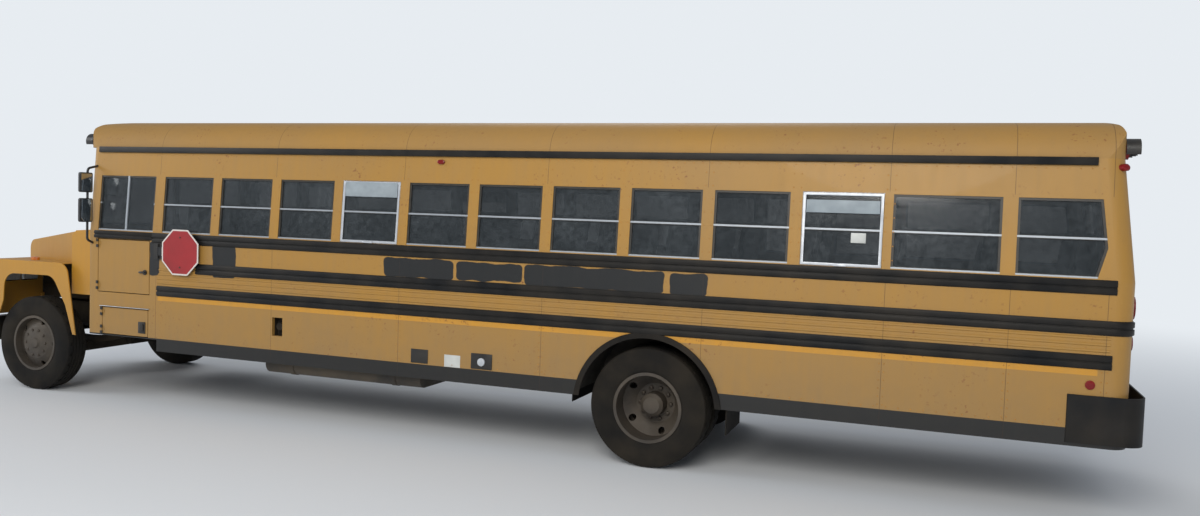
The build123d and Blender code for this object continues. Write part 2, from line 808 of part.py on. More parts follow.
with BuildPart() as rear_axle:
    with Locations(Location((rear_axle_x, 0, axle_z), (90, 0, 0))):
        Cylinder(70, 2 * 700)
        Cylinder(axle_end_radius, 2 * axle_half)
    with BuildSketch(Plane.XY.offset(axle_z)):
        with BuildLine():
            Polyline((rear_axle_x - diff_length, 0), (rear_axle_x - diff_length, 60),
                     (rear_axle_x - 120, 100), (rear_axle_x - 90, diff_radius),
                     (rear_axle_x + 60, diff_radius), (rear_axle_x + 170, 110),
                     (rear_axle_x + 190, 0), close=True)
        make_face()
    revolve(axis=Axis((rear_axle_x, 0, axle_z), (1, 0, 0)))
    spring(rear_axle_x, 680, 560, 645, 600, 640)
    mirror(about=Plane.XZ)
finish(rear_axle, "rear_axle")

# Steering knuckles: ears round the kingpin, a plate and the spindle
knuckle_plate_y = kingpin_y + 52
knuckle_plate = 28
ear = 26
spindle_end_y = front_track / 2 + 95
ear_gap = 2

for side, name in ((-1, "left"), (1, "right")):
    with BuildPart() as knuckle:
        for low in (beam_low - ear_gap - ear, beam_high + ear_gap):
            with BuildSketch(Plane.XY.offset(low)):
                with Locations((front_axle_x, -kingpin_y)):
                    Circle(42)
                with Locations((front_axle_x, -(kingpin_y + knuckle_plate_y + knuckle_plate) / 2)):
                    Rectangle(84, knuckle_plate_y + knuckle_plate - kingpin_y)
            extrude(amount=ear)
        with Locations((front_axle_x, -kingpin_y, (beam_low + beam_high) / 2)):
            Cylinder(kingpin_radius, beam_high - beam_low + 2 * (ear + ear_gap))
        block((front_axle_x - 60, front_axle_x + 60), (-knuckle_plate_y - knuckle_plate, -knuckle_plate_y),
              (beam_low - ear_gap - ear, beam_high + ear_gap + ear))
        with BuildSketch(Plane.XZ.offset(knuckle_plate_y + knuckle_plate)):
            with Locations((front_axle_x, axle_z)):
                Circle(spindle_radius)
        extrude(amount=spindle_end_y - knuckle_plate_y - knuckle_plate)
        if side > 0:
            mirror(about=Plane.XZ, mode=Mode.REPLACE)
    finish(knuckle, f"knuckle_{name}")

# Wheels: tyre section as (across, radius) from the tyre's centre plane
rim_flange = 300
bead_half = 107
tyre_section = [(-bead_half, rim_radius), (-bead_half, rim_flange + 1), (-126, 335),
                (-tyre_width / 2, 410), (-119, 470), (-98, 504), (-60, tyre_radius), (60, tyre_radius),
                (98, 504), (119, 470), (tyre_width / 2, 410), (126, 335), (bead_half, rim_flange + 1),
                (bead_half, rim_radius)]
rim_top = rim_radius - pin_clearance
rim_half = 118
rim_skin = 12
hand_holes = 5
hand_hole_radius = 30
hand_hole_circle = 238
outer_dual = rear_track / 2 + dual_spacing / 2
inner_dual = rear_track / 2 - dual_spacing / 2
front_bore = spindle_radius + pin_clearance
rear_bore = axle_end_radius + pin_clearance


def ring(x, outline, mode=Mode.ADD):
    """Turn a closed outline of (across, radius) points about an axle, on the driver's side."""
    with BuildSketch(Plane.YZ.offset(x)) as section:
        Polygon(*[(-across, axle_z + radius) for across, radius in outline], align=None)
    revolve(section.sketch, axis=Axis((x, 0, axle_z), (0, 1, 0)), mode=mode)


def barrel(centre):
    """Outline of a rim's barrel with its two flanges."""
    low, high = centre - rim_half, centre + rim_half
    base = rim_top - rim_skin
    return [(low, base), (high, base), (high, rim_flange), (high - 10, rim_flange), (high - 10, rim_top),
            (low + 10, rim_top), (low + 10, rim_flange), (low, rim_flange)]


wheel_middle = front_track / 2
front_hub = [(wheel_middle - 60, front_bore), (spindle_end_y + 1, front_bore), (spindle_end_y + 1, 0),
             (spindle_end_y + 30, 0), (spindle_end_y + 30, 50), (spindle_end_y + 14, 62),
             (spindle_end_y + 9, 110), (wheel_middle + 92, 172), (wheel_middle + 34, rim_top - 5),
             (wheel_middle + 20, rim_top - 5), (wheel_middle + 76, 165), (wheel_middle + 76, 72),
             (wheel_middle - 60, 72)]
dual_middle = rear_track / 2
rear_hub = [(dual_middle - 40, rear_bore), (axle_half + 1, rear_bore), (axle_half + 1, 0),
            (axle_half + 40, 0), (axle_half + 40, 70), (axle_half + 15, 100),
            (dual_middle + 14, 104), (dual_middle + 14, 172), (outer_dual - 70, rim_top - 5),
            (outer_dual - 86, rim_top - 5), (dual_middle, 178), (inner_dual + 86, rim_top - 5),
            (inner_dual + 70, rim_top - 5), (dual_middle - 14, 172), (dual_middle - 40, 104)]
drum_radius = 205
drum_skin = 15
wheels = [
    ("front", front_axle_x, [wheel_middle], front_hub, (wheel_middle - 90, wheel_middle + 60),
     (wheel_middle + 12, wheel_middle + 120)),
    ("rear", rear_axle_x, [outer_dual, inner_dual], rear_hub, (dual_middle - 180, dual_middle - 2),
     (dual_middle - 110, dual_middle + 120)),
]

for end, x, centres, hub, (drum_low, drum_high), (hole_low, hole_high) in wheels:
    for side, name in ((-1, "left"), (1, "right")):
        with BuildPart() as tyres:
            for centre in centres:
                ring(x, [(centre + across, radius) for across, radius in tyre_section])
            if side > 0:
                mirror(about=Plane.XZ, mode=Mode.REPLACE)
        finish(tyres, f"{end}_tyres_{name}" if len(centres) > 1 else f"{end}_tyre_{name}")
        with BuildPart() as rims:
            ring(x, hub)
            for centre in centres:
                ring(x, barrel(centre))
            ring(x, [(drum_low, drum_radius - drum_skin), (drum_low, drum_radius),
                     (drum_high, drum_radius), (drum_high, drum_radius - drum_skin)])
            with BuildSketch(Plane.XZ.offset(hole_low)) as holes:
                with Locations((x, axle_z)):
                    with PolarLocations(hand_hole_circle, hand_holes):
                        Circle(hand_hole_radius)
            extrude(holes.sketch, amount=hole_high - hole_low, mode=Mode.SUBTRACT)
            if side > 0:
                mirror(about=Plane.XZ, mode=Mode.REPLACE)
        finish(rims, f"{end}_rims_{name}" if len(centres) > 1 else f"{end}_rim_{name}")

# Nose: hood and fenders in one moulding that tilts forward
nose_top_radius = 110
nose_corner_radius = 180
fender_radius = 130
nose_low = 400
hood_frame_gap = 25


def nose_envelope(inset):
    """Solid of the nose, drawn in by the inset; the inner one runs out at the back and below."""
    back = 60 if inset else 0
    drop = 60 if inset else 0
    front = hood_front + inset
    rise = (hood_rear_top - hood_front_top) / (hood_rear - hood_front)
    with BuildSketch(Plane.XZ) as hood_side:
        with BuildLine():
            Polyline((front, fender_front_bottom - drop), (front, hood_front_top - inset),
                     (hood_rear + back, hood_rear_top - inset + back * rise),
                     (hood_rear + back, fender_front_bottom - drop), close=True)
        make_face()
        fillet(hood_side.vertices().sort_by_distance((front, hood_front_top - inset))[0],
               nose_top_radius - inset)
    spread = (hood_rear_half - hood_front_half) / (hood_rear - hood_front)
    with BuildSketch(Plane.XY.offset(nose_low)) as hood_plan:
        Polygon((front, -hood_front_half - spread * inset + inset),
                (hood_rear + back, -hood_rear_half - spread * back + inset),
                (hood_rear + back, hood_rear_half + spread * back - inset),
                (front, hood_front_half + spread * inset - inset), align=None)
    slope = (fender_rear_bottom_x - fender_rear_top_x) / (fender_top - fender_bottom)
    with BuildSketch(Plane.XZ) as fender_side:
        with BuildLine():
            Polyline((front, fender_front_bottom - drop), (front, fender_top - inset),
                     (fender_rear_top_x + back, fender_top - inset),
                     (fender_rear_bottom_x + back + slope * drop, fender_bottom - drop), close=True)
        make_face()
        corners = fender_side.vertices().group_by(Axis.Y)[-1]
        fillet(corners, fender_radius - inset)
    with BuildSketch(Plane.XY.offset(nose_low)) as fender_plan:
        with Locations(((front + body_front) / 2, 0)):
            Rectangle(body_front - front, 2 * (fender_half - inset))
        fillet(fender_plan.vertices().group_by(Axis.X)[0], nose_corner_radius - inset)
    with BuildPart() as bonnet:
        extrude(hood_side.sketch, amount=fender_half, both=True)
        extrude(hood_plan.sketch, amount=crown_z, mode=Mode.INTERSECT)
    with BuildPart() as nose:
        extrude(fender_side.sketch, amount=fender_half + 1, both=True)
        extrude(fender_plan.sketch, amount=crown_z, mode=Mode.INTERSECT)
        add(bonnet.part)
        block((hood_front, body_front), (-frame_half - 88, frame_half + 88),
              (nose_low - 1, frame_top + hood_frame_gap - drop), mode=Mode.SUBTRACT)
        if not inset:
            block((hood_front - 1, body_front), (-fender_half, fender_half),
                  (0, fender_bottom), mode=Mode.SUBTRACT)
    return nose.part


# Front wheel arch outline: X and Z of its corners, front foot first
arch_front_foot = (-5470, 600)
arch_front_knee = (-5324, 960)
arch_front_top = (-5300, 1262)
arch_rear_top = (-4600, 1268)
arch_rear_knee = (-4414, 963)
arch_rear_foot = (-4290, 600)
arch_corner_radius = 150
# Headlamps: low Y, high Y, low Z, high Z
headlamp_boxes = [(560, 760, 1140, 1282), (785, 985, 1140, 1282)]
outer_nose = nose_envelope(0)
inner_nose = nose_envelope(hood_skin)

with BuildPart() as tilting_hood:
    add(outer_nose)
    add(inner_nose, mode=Mode.SUBTRACT)
    block((hood_rear, body_front), (-cowl_half - 12, cowl_half + 12), (0, crown_z), mode=Mode.SUBTRACT)
    for start in (fender_half + 10, -cowl_half + 280):
        with BuildSketch(Plane.XZ.offset(-start)) as arch:
            with BuildLine():
                Polyline(arch_front_foot, arch_front_knee, arch_front_top, arch_rear_top, arch_rear_knee,
                         arch_rear_foot, close=True)
            make_face()
            fillet(arch.vertices().sort_by(Axis.Y)[-2:], arch_corner_radius)
        extrude(amount=fender_half + 10 - cowl_half + 280, mode=Mode.SUBTRACT)
    block((hood_front - 1, hood_front + 60), (-grille_half, grille_half), (grille_bottom, grille_top),
          mode=Mode.SUBTRACT)
    for side in (-1, 1):
        for low_y, high_y, low_z, high_z in headlamp_boxes:
            block((hood_front - 1, hood_front + 60), sorted((side * low_y, side * high_y)), (low_z, high_z),
                  mode=Mode.SUBTRACT)
        lug_y = sorted((side * (frame_half + 26), side * (frame_half + 62)))
        block((hood_front, hood_hinge_x + 20), lug_y, (hood_hinge_z, frame_top + hood_frame_gap + 30))
        with Locations(Location((hood_hinge_x, side * (frame_half + 44), hood_hinge_z), (90, 0, 0))):
            Cylinder(22, 36)
            Cylinder(12 + pin_clearance, 40, mode=Mode.SUBTRACT)
finish(tilting_hood, "tilting_hood")

# Grille and headlamp surrounds
grille_ring = 30
grille_depth = 30
grille_proud = 8
grille_bars = 7
grille_bar = 16
grille_ribs = (-157, 157)
lamp_ring = 14

with BuildPart() as grille:
    with BuildSketch(Plane.YZ.offset(hood_front - grille_proud)):
        with Locations((0, (grille_bottom + grille_top) / 2)):
            Rectangle(2 * grille_half, grille_top - grille_bottom)
            Rectangle(2 * (grille_half - grille_ring), grille_top - grille_bottom - 2 * grille_ring,
                      mode=Mode.SUBTRACT)
    extrude(amount=grille_depth)
    bar_step = (grille_top - grille_bottom - 2 * grille_ring) / (grille_bars + 1)
    for i in range(grille_bars):
        with BuildSketch(Plane.YZ.offset(hood_front)):
            with Locations((0, grille_bottom + grille_ring + (i + 1) * bar_step)):
                Rectangle(2 * (grille_half - grille_ring) + 2, grille_bar)
        extrude(amount=grille_depth / 2)
    for y in grille_ribs:
        block((hood_front, hood_front + grille_depth / 2), (y - grille_bar / 2, y + grille_bar / 2),
              (grille_bottom + grille_ring - 1, grille_top - grille_ring + 1))
    for side in (-1, 1):
        for low_y, high_y, low_z, high_z in headlamp_boxes:
            low, high = sorted((side * low_y, side * high_y))
            block((hood_front - grille_proud, hood_front + grille_depth), (low, high), (low_z, high_z))
            block((hood_front - grille_proud - 1, hood_front + grille_depth + 1),
                  (low + lamp_ring, high - lamp_ring), (low_z + lamp_ring, high_z - lamp_ring),
                  mode=Mode.SUBTRACT)
finish(grille, "grille")

with BuildPart() as headlamps:
    for side in (-1, 1):
        for low_y, high_y, low_z, high_z in headlamp_boxes:
            low, high = sorted((side * low_y, side * high_y))
            block((hood_front, hood_front + 2 * grille_depth), (low + lamp_ring, high - lamp_ring),
                  (low_z + lamp_ring, high_z - lamp_ring))
finish(headlamps, "headlamps")

# Fuel tank outboard of the left rail, on two straps
tank_front = -1900
tank_rear = -150
tank_inner_y = -480
tank_outer_y = -1060
tank_bottom = 440
tank_top = 900
tank_radius = 90
strap = 60

with BuildPart() as fuel_tank:
    with BuildSketch(Plane.YZ.offset(tank_front)):
        with Locations(((tank_inner_y + tank_outer_y) / 2, (tank_bottom + tank_top) / 2)):
            RectangleRounded(tank_inner_y - tank_outer_y, tank_top - tank_bottom, tank_radius)
    extrude(amount=tank_rear - tank_front)
    for x in (tank_front + 300, tank_rear - 300):
        with BuildSketch(Plane.YZ.offset(x - strap / 2)):
            with Locations(((tank_inner_y + tank_outer_y) / 2, (tank_bottom + tank_top) / 2)):
                RectangleRounded(tank_inner_y - tank_outer_y + 12, tank_top - tank_bottom + 12,
                                 tank_radius + 6)
        extrude(amount=strap)
        block((x - strap / 2, x + strap / 2), (tank_inner_y - 20, -frame_half),
              (frame_bottom + 20, frame_top - 60))
finish(fuel_tank, "fuel_tank")

# Exhaust along the right rail, out below the rear bumper
pipe_radius = 38
pipe_y = 515
pipe_z = 720
pipe_end_z = 540
pipe_start = (-4600, 321, 1000)
muffler_y = 565
muffler_radius = 110
muffler_front = -2450
muffler_rear = -1350

with BuildPart() as exhaust_pipe:
    with BuildLine() as route:
        FilletPolyline(pipe_start, (pipe_start[0], pipe_y, pipe_start[2]), (pipe_start[0], pipe_y, pipe_z),
                       (rear_split - 168, pipe_y, pipe_z), (rear_split + 42, pipe_y, pipe_end_z),
                       (half_length - 10, pipe_y, pipe_end_z), radius=80)
    with BuildSketch(Plane(origin=pipe_start, z_dir=(0, 1, 0))) as bore:
        Circle(pipe_radius)
    sweep(bore.sketch, path=route.wire())
    with Locations(Location(((muffler_front + muffler_rear) / 2, muffler_y, pipe_z), (0, 90, 0))):
        Cylinder(muffler_radius, muffler_rear - muffler_front)
    for x in (-3000, -600, 700, 3300, 5000):
        block((x - 15, x + 15), (frame_half, pipe_y - pipe_radius + 12), (pipe_z - 10, pipe_z + 10))
finish(exhaust_pipe, "exhaust_pipe")

# Flaps hung from the sills before and behind the rear wheels: X, foot height
flap_thickness = 6
flap_inner_y = 600
flap_outer_y = 1165
flaps = [(1415, 500), (2765, 350)]

with BuildPart() as mud_flaps:
    for x, foot in flaps:
        for side in (-1, 1):
            block((x - flap_thickness / 2, x + flap_thickness / 2),
                  sorted((side * flap_inner_y, side * flap_outer_y)), (foot, frame_top))
finish(mud_flaps, "mud_flaps")

# Boxes behind the driver's side doors and the filler: the opening, depth, skin
box_skin = 10
door_boxes_table = [(access_door_box, 130), (battery_door_box, 380), (filler_box, 60)]
inner_side_y = half_width - wall

with BuildPart() as door_boxes:
    for (low_x, high_x, low_z, high_z), depth in door_boxes_table:
        block((low_x - box_skin, high_x + box_skin), (-inner_side_y, -inner_side_y + depth),
              (low_z - box_skin, high_z + box_skin))
        block((low_x, high_x), (-inner_side_y - 1, -inner_side_y + depth - box_skin), (low_z, high_z),
              mode=Mode.SUBTRACT)
    low_x, high_x, low_z, high_z = filler_box
    with Locations(Location(((low_x + high_x) / 2, -inner_side_y + 25, (low_z + high_z) / 2), (90, 0, 0))):
        Cylinder(36, 60)
finish(door_boxes, "door_boxes")

# Rear-view mirrors: heads on a tube loop, two a side
mirror_x = -4000
mirror_tube = 12
mirror_tube_y = 1290
mirror_low = 1640
mirror_high = 2460
mirror_heads = [(1865, 2111), (2172, 2377)]
mirror_inner_y = 1250
mirror_outer_y = 1405

with BuildPart() as mirrors:
    with BuildLine() as loop:
        FilletPolyline((mirror_x, half_width - 20, mirror_low), (mirror_x, mirror_tube_y, mirror_low + 40),
                       (mirror_x, mirror_tube_y, mirror_high - 40), (mirror_x, roof_half - 20, mirror_high),
                       radius=40)
    with BuildSketch(Plane(origin=loop.wire() @ 0, z_dir=loop.wire() % 0)) as tube:
        Circle(mirror_tube)
    sweep(tube.sketch, path=loop.wire())
    for low_z, high_z in mirror_heads:
        with BuildSketch(Plane.YZ.offset(mirror_x)) as head:
            with Locations(((mirror_inner_y + mirror_outer_y) / 2, (low_z + high_z) / 2)):
                RectangleRounded(mirror_outer_y - mirror_inner_y, high_z - low_z, 20)
        extrude(head.sketch, amount=28)
    add(front_wall.part, mode=Mode.SUBTRACT)
    add(side_wall_right.part, mode=Mode.SUBTRACT)
    mirror(about=Plane.XZ)
finish(mirrors, "mirrors")

# Warning lamps above the windows at both ends, and tail lamps
warning_z = 2720
warning_radius = 70
warning_proud = 22
red_y = 980
amber_y = 760
lamp_ends = [(body_front - brow, -1), (body_rear - rear_lean, 1)]
tail_y = 950
tail_lamps = [(1493, 1660), (1265, 1367)]

with BuildPart() as red_lamps:
    for x, out in lamp_ends:
        for side in (-1, 1):
            with Locations(Location((x + out * warning_proud / 2, side * red_y, warning_z), (0, 90, 0))):
                Cylinder(warning_radius, warning_proud)
    for low_z, high_z in tail_lamps:
        for side in (-1, 1):
            with Locations(Location((body_rear + 12, side * tail_y, (low_z + high_z) / 2), (0, 90, 0))):
                Cylinder((high_z - low_z) / 2, 24)
finish(red_lamps, "red_lamps")

with BuildPart() as amber_lamps:
    for x, out in lamp_ends:
        for side in (-1, 1):
            with Locations(Location((x + out * warning_proud / 2, side * amber_y, warning_z), (0, 90, 0))):
                Cylinder(warning_radius, warning_proud)
finish(amber_lamps, "amber_lamps")

visor_skin = 3
visor_depth = 95
with BuildPart() as lamp_visors:
    for x, out in lamp_ends:
        for side in (-1, 1):
            for y in (red_y, amber_y):
                with BuildSketch(Plane.YZ.offset(min(x, x + out * visor_depth))) as visor:
                    with Locations((side * y, warning_z)):
                        Circle(warning_radius + 12)
                        Circle(warning_radius + 12 - visor_skin, mode=Mode.SUBTRACT)
                    with Locations((side * y, warning_z - warning_radius)):
                        Rectangle(3 * warning_radius, warning_radius, mode=Mode.SUBTRACT)
                extrude(visor.sketch, amount=visor_depth)
finish(lamp_visors, "lamp_visors")


def knuckle_at(x, y, z, height, bore=0):
    """One hinge knuckle on an upright axis, solid or bored."""
    with Locations((x, y, z)):
        Cylinder(hinge_radius, height)
        if bore:
            Cylinder(bore, height + 1, mode=Mode.SUBTRACT)


# Side hinges: axis X and Y, mid heights, direction of the door from the axis
side_hinge_y = half_width + hinge_radius
knuckle_height = 30
knuckle_gap = 1
access_hinge = (access_door_box[0] + door_gap / 2, -side_hinge_y, (1210, 1650))
battery_hinge = (battery_door_box[0] + door_gap / 2, -side_hinge_y, (750, 940))
leaf_front_hinge = (step_front + door_gap / 2, side_hinge_y, (560, 1500, 2400))
leaf_rear_hinge = (step_rear - door_gap / 2, side_hinge_y, (560, 1500, 2400))
side_hinges = [access_hinge + (1,), battery_hinge + (1,), leaf_front_hinge + (1,), leaf_rear_hinge + (-1,)]
rear_hinge_x = body_rear + 12
rear_hinge_y = rear_door_half - door_gap / 2
rear_hinge_heights = (1180, 1650)
rear_top_hinge_z = 2380


def door_knuckles(x, y, heights, toward):
    """Middle knuckles of a side door's hinges, with their plates on the door's outer face."""
    for z in heights:
        knuckle_at(x, y, z, knuckle_height - 2 * knuckle_gap, hinge_pin_radius + pin_clearance)
        face = half_width if y > 0 else -half_width
        reach = sorted((x, x + toward * (door_gap / 2 + hinge_leaf)))
        block(reach, sorted((face, face + hinge_plate * (1 if y > 0 else -1))),
              (z - knuckle_height / 2 + knuckle_gap, z + knuckle_height / 2 - knuckle_gap))


# Stop sign hinge on the left wall
sign_hinge_x = -3090
sign_hinge_y = -half_width - 43
sign_z = 1600
sign_bracket_front = -3150
sign_bracket_rear = -3050
sign_bracket_half = 80
sign_bracket_depth = 34

with BuildPart() as hinge_fittings:
    for x, y, heights, toward in side_hinges:
        for z in heights:
            for up in (-1, 1):
                knuckle_at(x, y, z + up * knuckle_height, knuckle_height)
                face = half_width if y > 0 else -half_width
                block(sorted((x - toward * (hinge_pin_radius - 1), x - toward * (door_gap / 2 + hinge_leaf))),
                      sorted((face, face + hinge_plate * (1 if y > 0 else -1))),
                      (z + up * knuckle_height - knuckle_height / 2,
                       z + up * knuckle_height + knuckle_height / 2))
            with Locations((x, y, z)):
                Cylinder(hinge_pin_radius, 2 * knuckle_height)
    for z in rear_hinge_heights + (rear_top_hinge_z,):
        for up in (-1, 1):
            knuckle_at(rear_hinge_x, rear_hinge_y, z + up * knuckle_height, knuckle_height)
            block((body_rear - 90 if z == rear_top_hinge_z else body_rear, rear_hinge_x),
                  (rear_hinge_y + 3, rear_hinge_y + 40),
                  (z + up * knuckle_height - knuckle_height / 2,
                   z + up * knuckle_height + knuckle_height / 2))
        with Locations((rear_hinge_x, rear_hinge_y, z)):
            Cylinder(hinge_pin_radius, 2 * knuckle_height)
    add(rear_wall.part, mode=Mode.SUBTRACT)
    block((sign_bracket_front, sign_bracket_rear), (-half_width - sign_bracket_depth, -half_width),
          (sign_z - sign_bracket_half, sign_z + sign_bracket_half))
    for z in (sign_z - 60, sign_z + 60):
        with Locations((sign_hinge_x, (sign_hinge_y - half_width - sign_bracket_depth + 1) / 2, z)):
            Box(18, -half_width - sign_bracket_depth + 1 - sign_hinge_y, 30)
        knuckle_at(sign_hinge_x, sign_hinge_y, z, 30)
    with Locations((sign_hinge_x, sign_hinge_y, sign_z)):
        Cylinder(hinge_pin_radius, 120)
finish(hinge_fittings, "hinge_fittings")

# Stop sign: an octagon of sheet that folds out from the side
sign_size = 457
sign_thickness = 6
sign_centre_x = -2803

with BuildPart() as stop_sign:
    with BuildSketch(Plane.XZ.offset(-sign_hinge_y)):
        with Locations((sign_centre_x, sign_z)):
            RegularPolygon(sign_size / 2, 8, major_radius=False, rotation=22.5)
    extrude(amount=sign_thickness / 2, both=True)
    block((sign_hinge_x, sign_centre_x - 150), (sign_hinge_y - 4, sign_hinge_y + 4),
          (sign_z - 42, sign_z + 42))
    with Locations((sign_hinge_x, sign_hinge_y, sign_z)):
        Cylinder(hinge_radius, 84)
        Cylinder(hinge_pin_radius + pin_clearance, 90, mode=Mode.SUBTRACT)
finish(stop_sign, "stop_sign")

# Doors on the driver's side
side_doors = [("access_door", access_door_box, access_hinge),
              ("battery_door", battery_door_box, battery_hinge)]
for name, (low_x, high_x, low_z, high_z), (hinge_x, hinge_y, heights) in side_doors:
    with BuildPart() as side_door:
        block((low_x + door_gap, high_x - door_gap), (-half_width, -inner_side_y),
              (low_z + door_gap, high_z - door_gap))
        door_knuckles(hinge_x, hinge_y, heights, 1)
    finish(side_door, name)

# Entrance door in two leaves that open outwards
leaf_thickness = 30
leaf_stile = 48
leaf_bottom = entrance_sill + door_gap
leaf_top = entrance_top - entrance_post - door_gap
leaf_middle = (step_front + step_rear) / 2
leaf_windows = [(640, 1180), (1260, 2400)]
leaves = [
    ("front", step_front + door_gap, leaf_middle - door_gap / 2, leaf_front_hinge, 1),
    ("rear", leaf_middle + door_gap / 2, step_rear - door_gap, leaf_rear_hinge, -1),
]
for name, low_x, high_x, (hinge_x, hinge_y, heights), toward in leaves:
    with BuildPart() as door_leaf:
        block((low_x, high_x), (half_width - leaf_thickness, half_width), (leaf_bottom, leaf_top))
        for low_z, high_z in leaf_windows:
            block((low_x + leaf_stile, high_x - leaf_stile),
                  (half_width - leaf_thickness - 1, half_width + 1), (low_z, high_z),
                  mode=Mode.SUBTRACT)
        door_knuckles(hinge_x, hinge_y, heights, toward)
    finish(door_leaf, f"door_leaf_{name}")
    with BuildPart() as leaf_glass:
        for low_z, high_z in leaf_windows:
            block((low_x + leaf_stile, high_x - leaf_stile),
                  (half_width - (leaf_thickness + glass_thickness) / 2,
                   half_width - (leaf_thickness - glass_thickness) / 2), (low_z, high_z))
    finish(leaf_glass, f"door_glass_{name}")

# Rear emergency door
emergency_inset = 110
emergency_lower = (1230, 1640)
emergency_upper = (1840, 2360)
with BuildPart() as emergency_door:
    add(body_shell.part)
    block((rear_split, body_rear + 1), (-rear_door_half + rear_free_gap, rear_door_half - door_gap),
          (rear_door_bottom + door_gap, rear_door_top - door_gap), mode=Mode.INTERSECT)
    for low_z, high_z in (emergency_lower, emergency_upper):
        block((rear_split, body_rear + 1),
              (-rear_door_half + emergency_inset, rear_door_half - emergency_inset), (low_z, high_z),
              mode=Mode.SUBTRACT)
    for z in rear_hinge_heights + (rear_top_hinge_z,):
        knuckle_at(rear_hinge_x, rear_hinge_y, z, knuckle_height - 2 * knuckle_gap)
        block((body_rear - 90 if z == rear_top_hinge_z else body_rear - 1, rear_hinge_x),
              (rear_hinge_y - 40, rear_hinge_y - 6),
              (z - knuckle_height / 2 + knuckle_gap, z + knuckle_height / 2 - knuckle_gap))
        with Locations((rear_hinge_x, rear_hinge_y, z)):
            Cylinder(hinge_pin_radius + pin_clearance, knuckle_height, mode=Mode.SUBTRACT)
finish(emergency_door, "emergency_door")

with BuildPart() as emergency_glass:
    block((body_rear - (wall + glass_thickness) / 2, body_rear - (wall - glass_thickness) / 2),
          (-rear_door_half + emergency_inset, rear_door_half - emergency_inset), emergency_lower)
    with BuildSketch(rear_upper.offset(-wall / 2)):
        with Locations((0, (up_rear(emergency_upper[0]) + up_rear(emergency_upper[1])) / 2)):
            Rectangle(2 * (rear_door_half - emergency_inset),
                      up_rear(emergency_upper[1]) - up_rear(emergency_upper[0]) - 8)
    extrude(amount=glass_thickness)
finish(emergency_glass, "emergency_glass")

# Dashboard with the steering wheel
dash_rear = -3900
dash_bottom = 1450
wheel_centre = (-3760, -700, 1690)
wheel_radius = 225
wheel_rim = 14
wheel_rake = 35
column_length = 400

with BuildPart() as dashboard:
    with BuildSketch(Plane.XZ):
        Polygon((body_front + wall, dash_bottom), (body_front + wall, cowl_top - cowl_skin),
                (dash_rear - 40, cowl_top - cowl_skin), (dash_rear, dash_bottom + 180),
                (dash_rear - 60, dash_bottom), align=None)
    extrude(amount=cowl_opening_half - 20, both=True)
    block((body_front + wall, front_split), (-cowl_opening_half, cowl_opening_half),
          (floor_top, dash_bottom + 1))
finish(dashboard, "dashboard")

steering_plane = Plane(origin=wheel_centre, x_dir=(0, 1, 0),
                       z_dir=(sin(radians(wheel_rake)), 0, cos(radians(wheel_rake))))
with BuildPart() as steering_wheel:
    with Locations(steering_plane):
        Torus(wheel_radius - wheel_rim, wheel_rim)
        Cylinder(45, 30)
        Box(2 * (wheel_radius - wheel_rim), 24, 12)
        with Locations((0, 0, -column_length / 2)):
            Cylinder(28, column_length)
    add(dashboard.part, mode=Mode.SUBTRACT)
finish(steering_wheel, "steering_wheel")

# Seats: benches in rows each side of the aisle, and the driver's seat
driver_seat_x = -3480
driver_seat_half = 240
driver_seat_y = -700
# Each seat: front edge along X, low Y, high Y
seat_table = [(driver_seat_x, driver_seat_y - driver_seat_half, driver_seat_y + driver_seat_half)]
for i in range(seat_rows):
    seat_table.append((first_seat_x + i * seat_pitch, -bench_outer_y, -bench_inner_y))
    seat_table.append((first_seat_x + i * seat_pitch, bench_inner_y, bench_outer_y))

with BuildPart() as seat_cushions:
    for x, low_y, high_y in seat_table:
        block((x, x + cushion_depth), (low_y, high_y), (cushion_top - cushion_thickness, cushion_top))
finish(seat_cushions, "seat_cushions")

with BuildPart() as seat_backs:
    for x, low_y, high_y in seat_table:
        foot = x + cushion_depth
        with BuildSketch(Plane.XZ.offset(-high_y)):
            with BuildLine():
                Polyline((foot, cushion_top - cushion_thickness), (foot, cushion_top),
                         (foot + back_rake, back_top), (foot + back_rake + back_thickness, back_top),
                         (foot + back_thickness, cushion_top - cushion_thickness), close=True)
            make_face()
        extrude(amount=high_y - low_y)
finish(seat_backs, "seat_backs")

seat_tube = 30
leg_y = 245
with BuildPart() as seat_legs:
    under = cushion_top - cushion_thickness
    for i in range(seat_rows):
        for side in (-1, 1):
            for x in (first_seat_x + i * seat_pitch + 60, first_seat_x + i * seat_pitch + cushion_depth - 30):
                block((x, x + seat_tube), sorted((side * (leg_y - seat_tube / 2), side * inner_side_y)),
                      (under - seat_tube, under))
                block((x, x + seat_tube),
                      sorted((side * (leg_y - seat_tube / 2), side * (leg_y + seat_tube / 2))),
                      (floor_top, under))
    block((driver_seat_x + 60, driver_seat_x + 360),
          (driver_seat_y - 160, driver_seat_y + 160), (floor_top, under))
finish(seat_legs, "seat_legs")
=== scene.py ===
# %% [markdown]
# A conventional school bus, seen from the driver's side.
# The solids of the frame carry the shapes and the joints. This lesson sets a camera, dresses them in
# worn paint, glass and rubber, adds treads, rails, rivets, lamps and padded seats, and ends with a plain
# studio.
# Everything is in metres: +X runs to the rear, -Y is the driver's side and +Z is up.

# %% Load the frame
import math
from functools import reduce

import bpy
from mathutils import Matrix, Vector


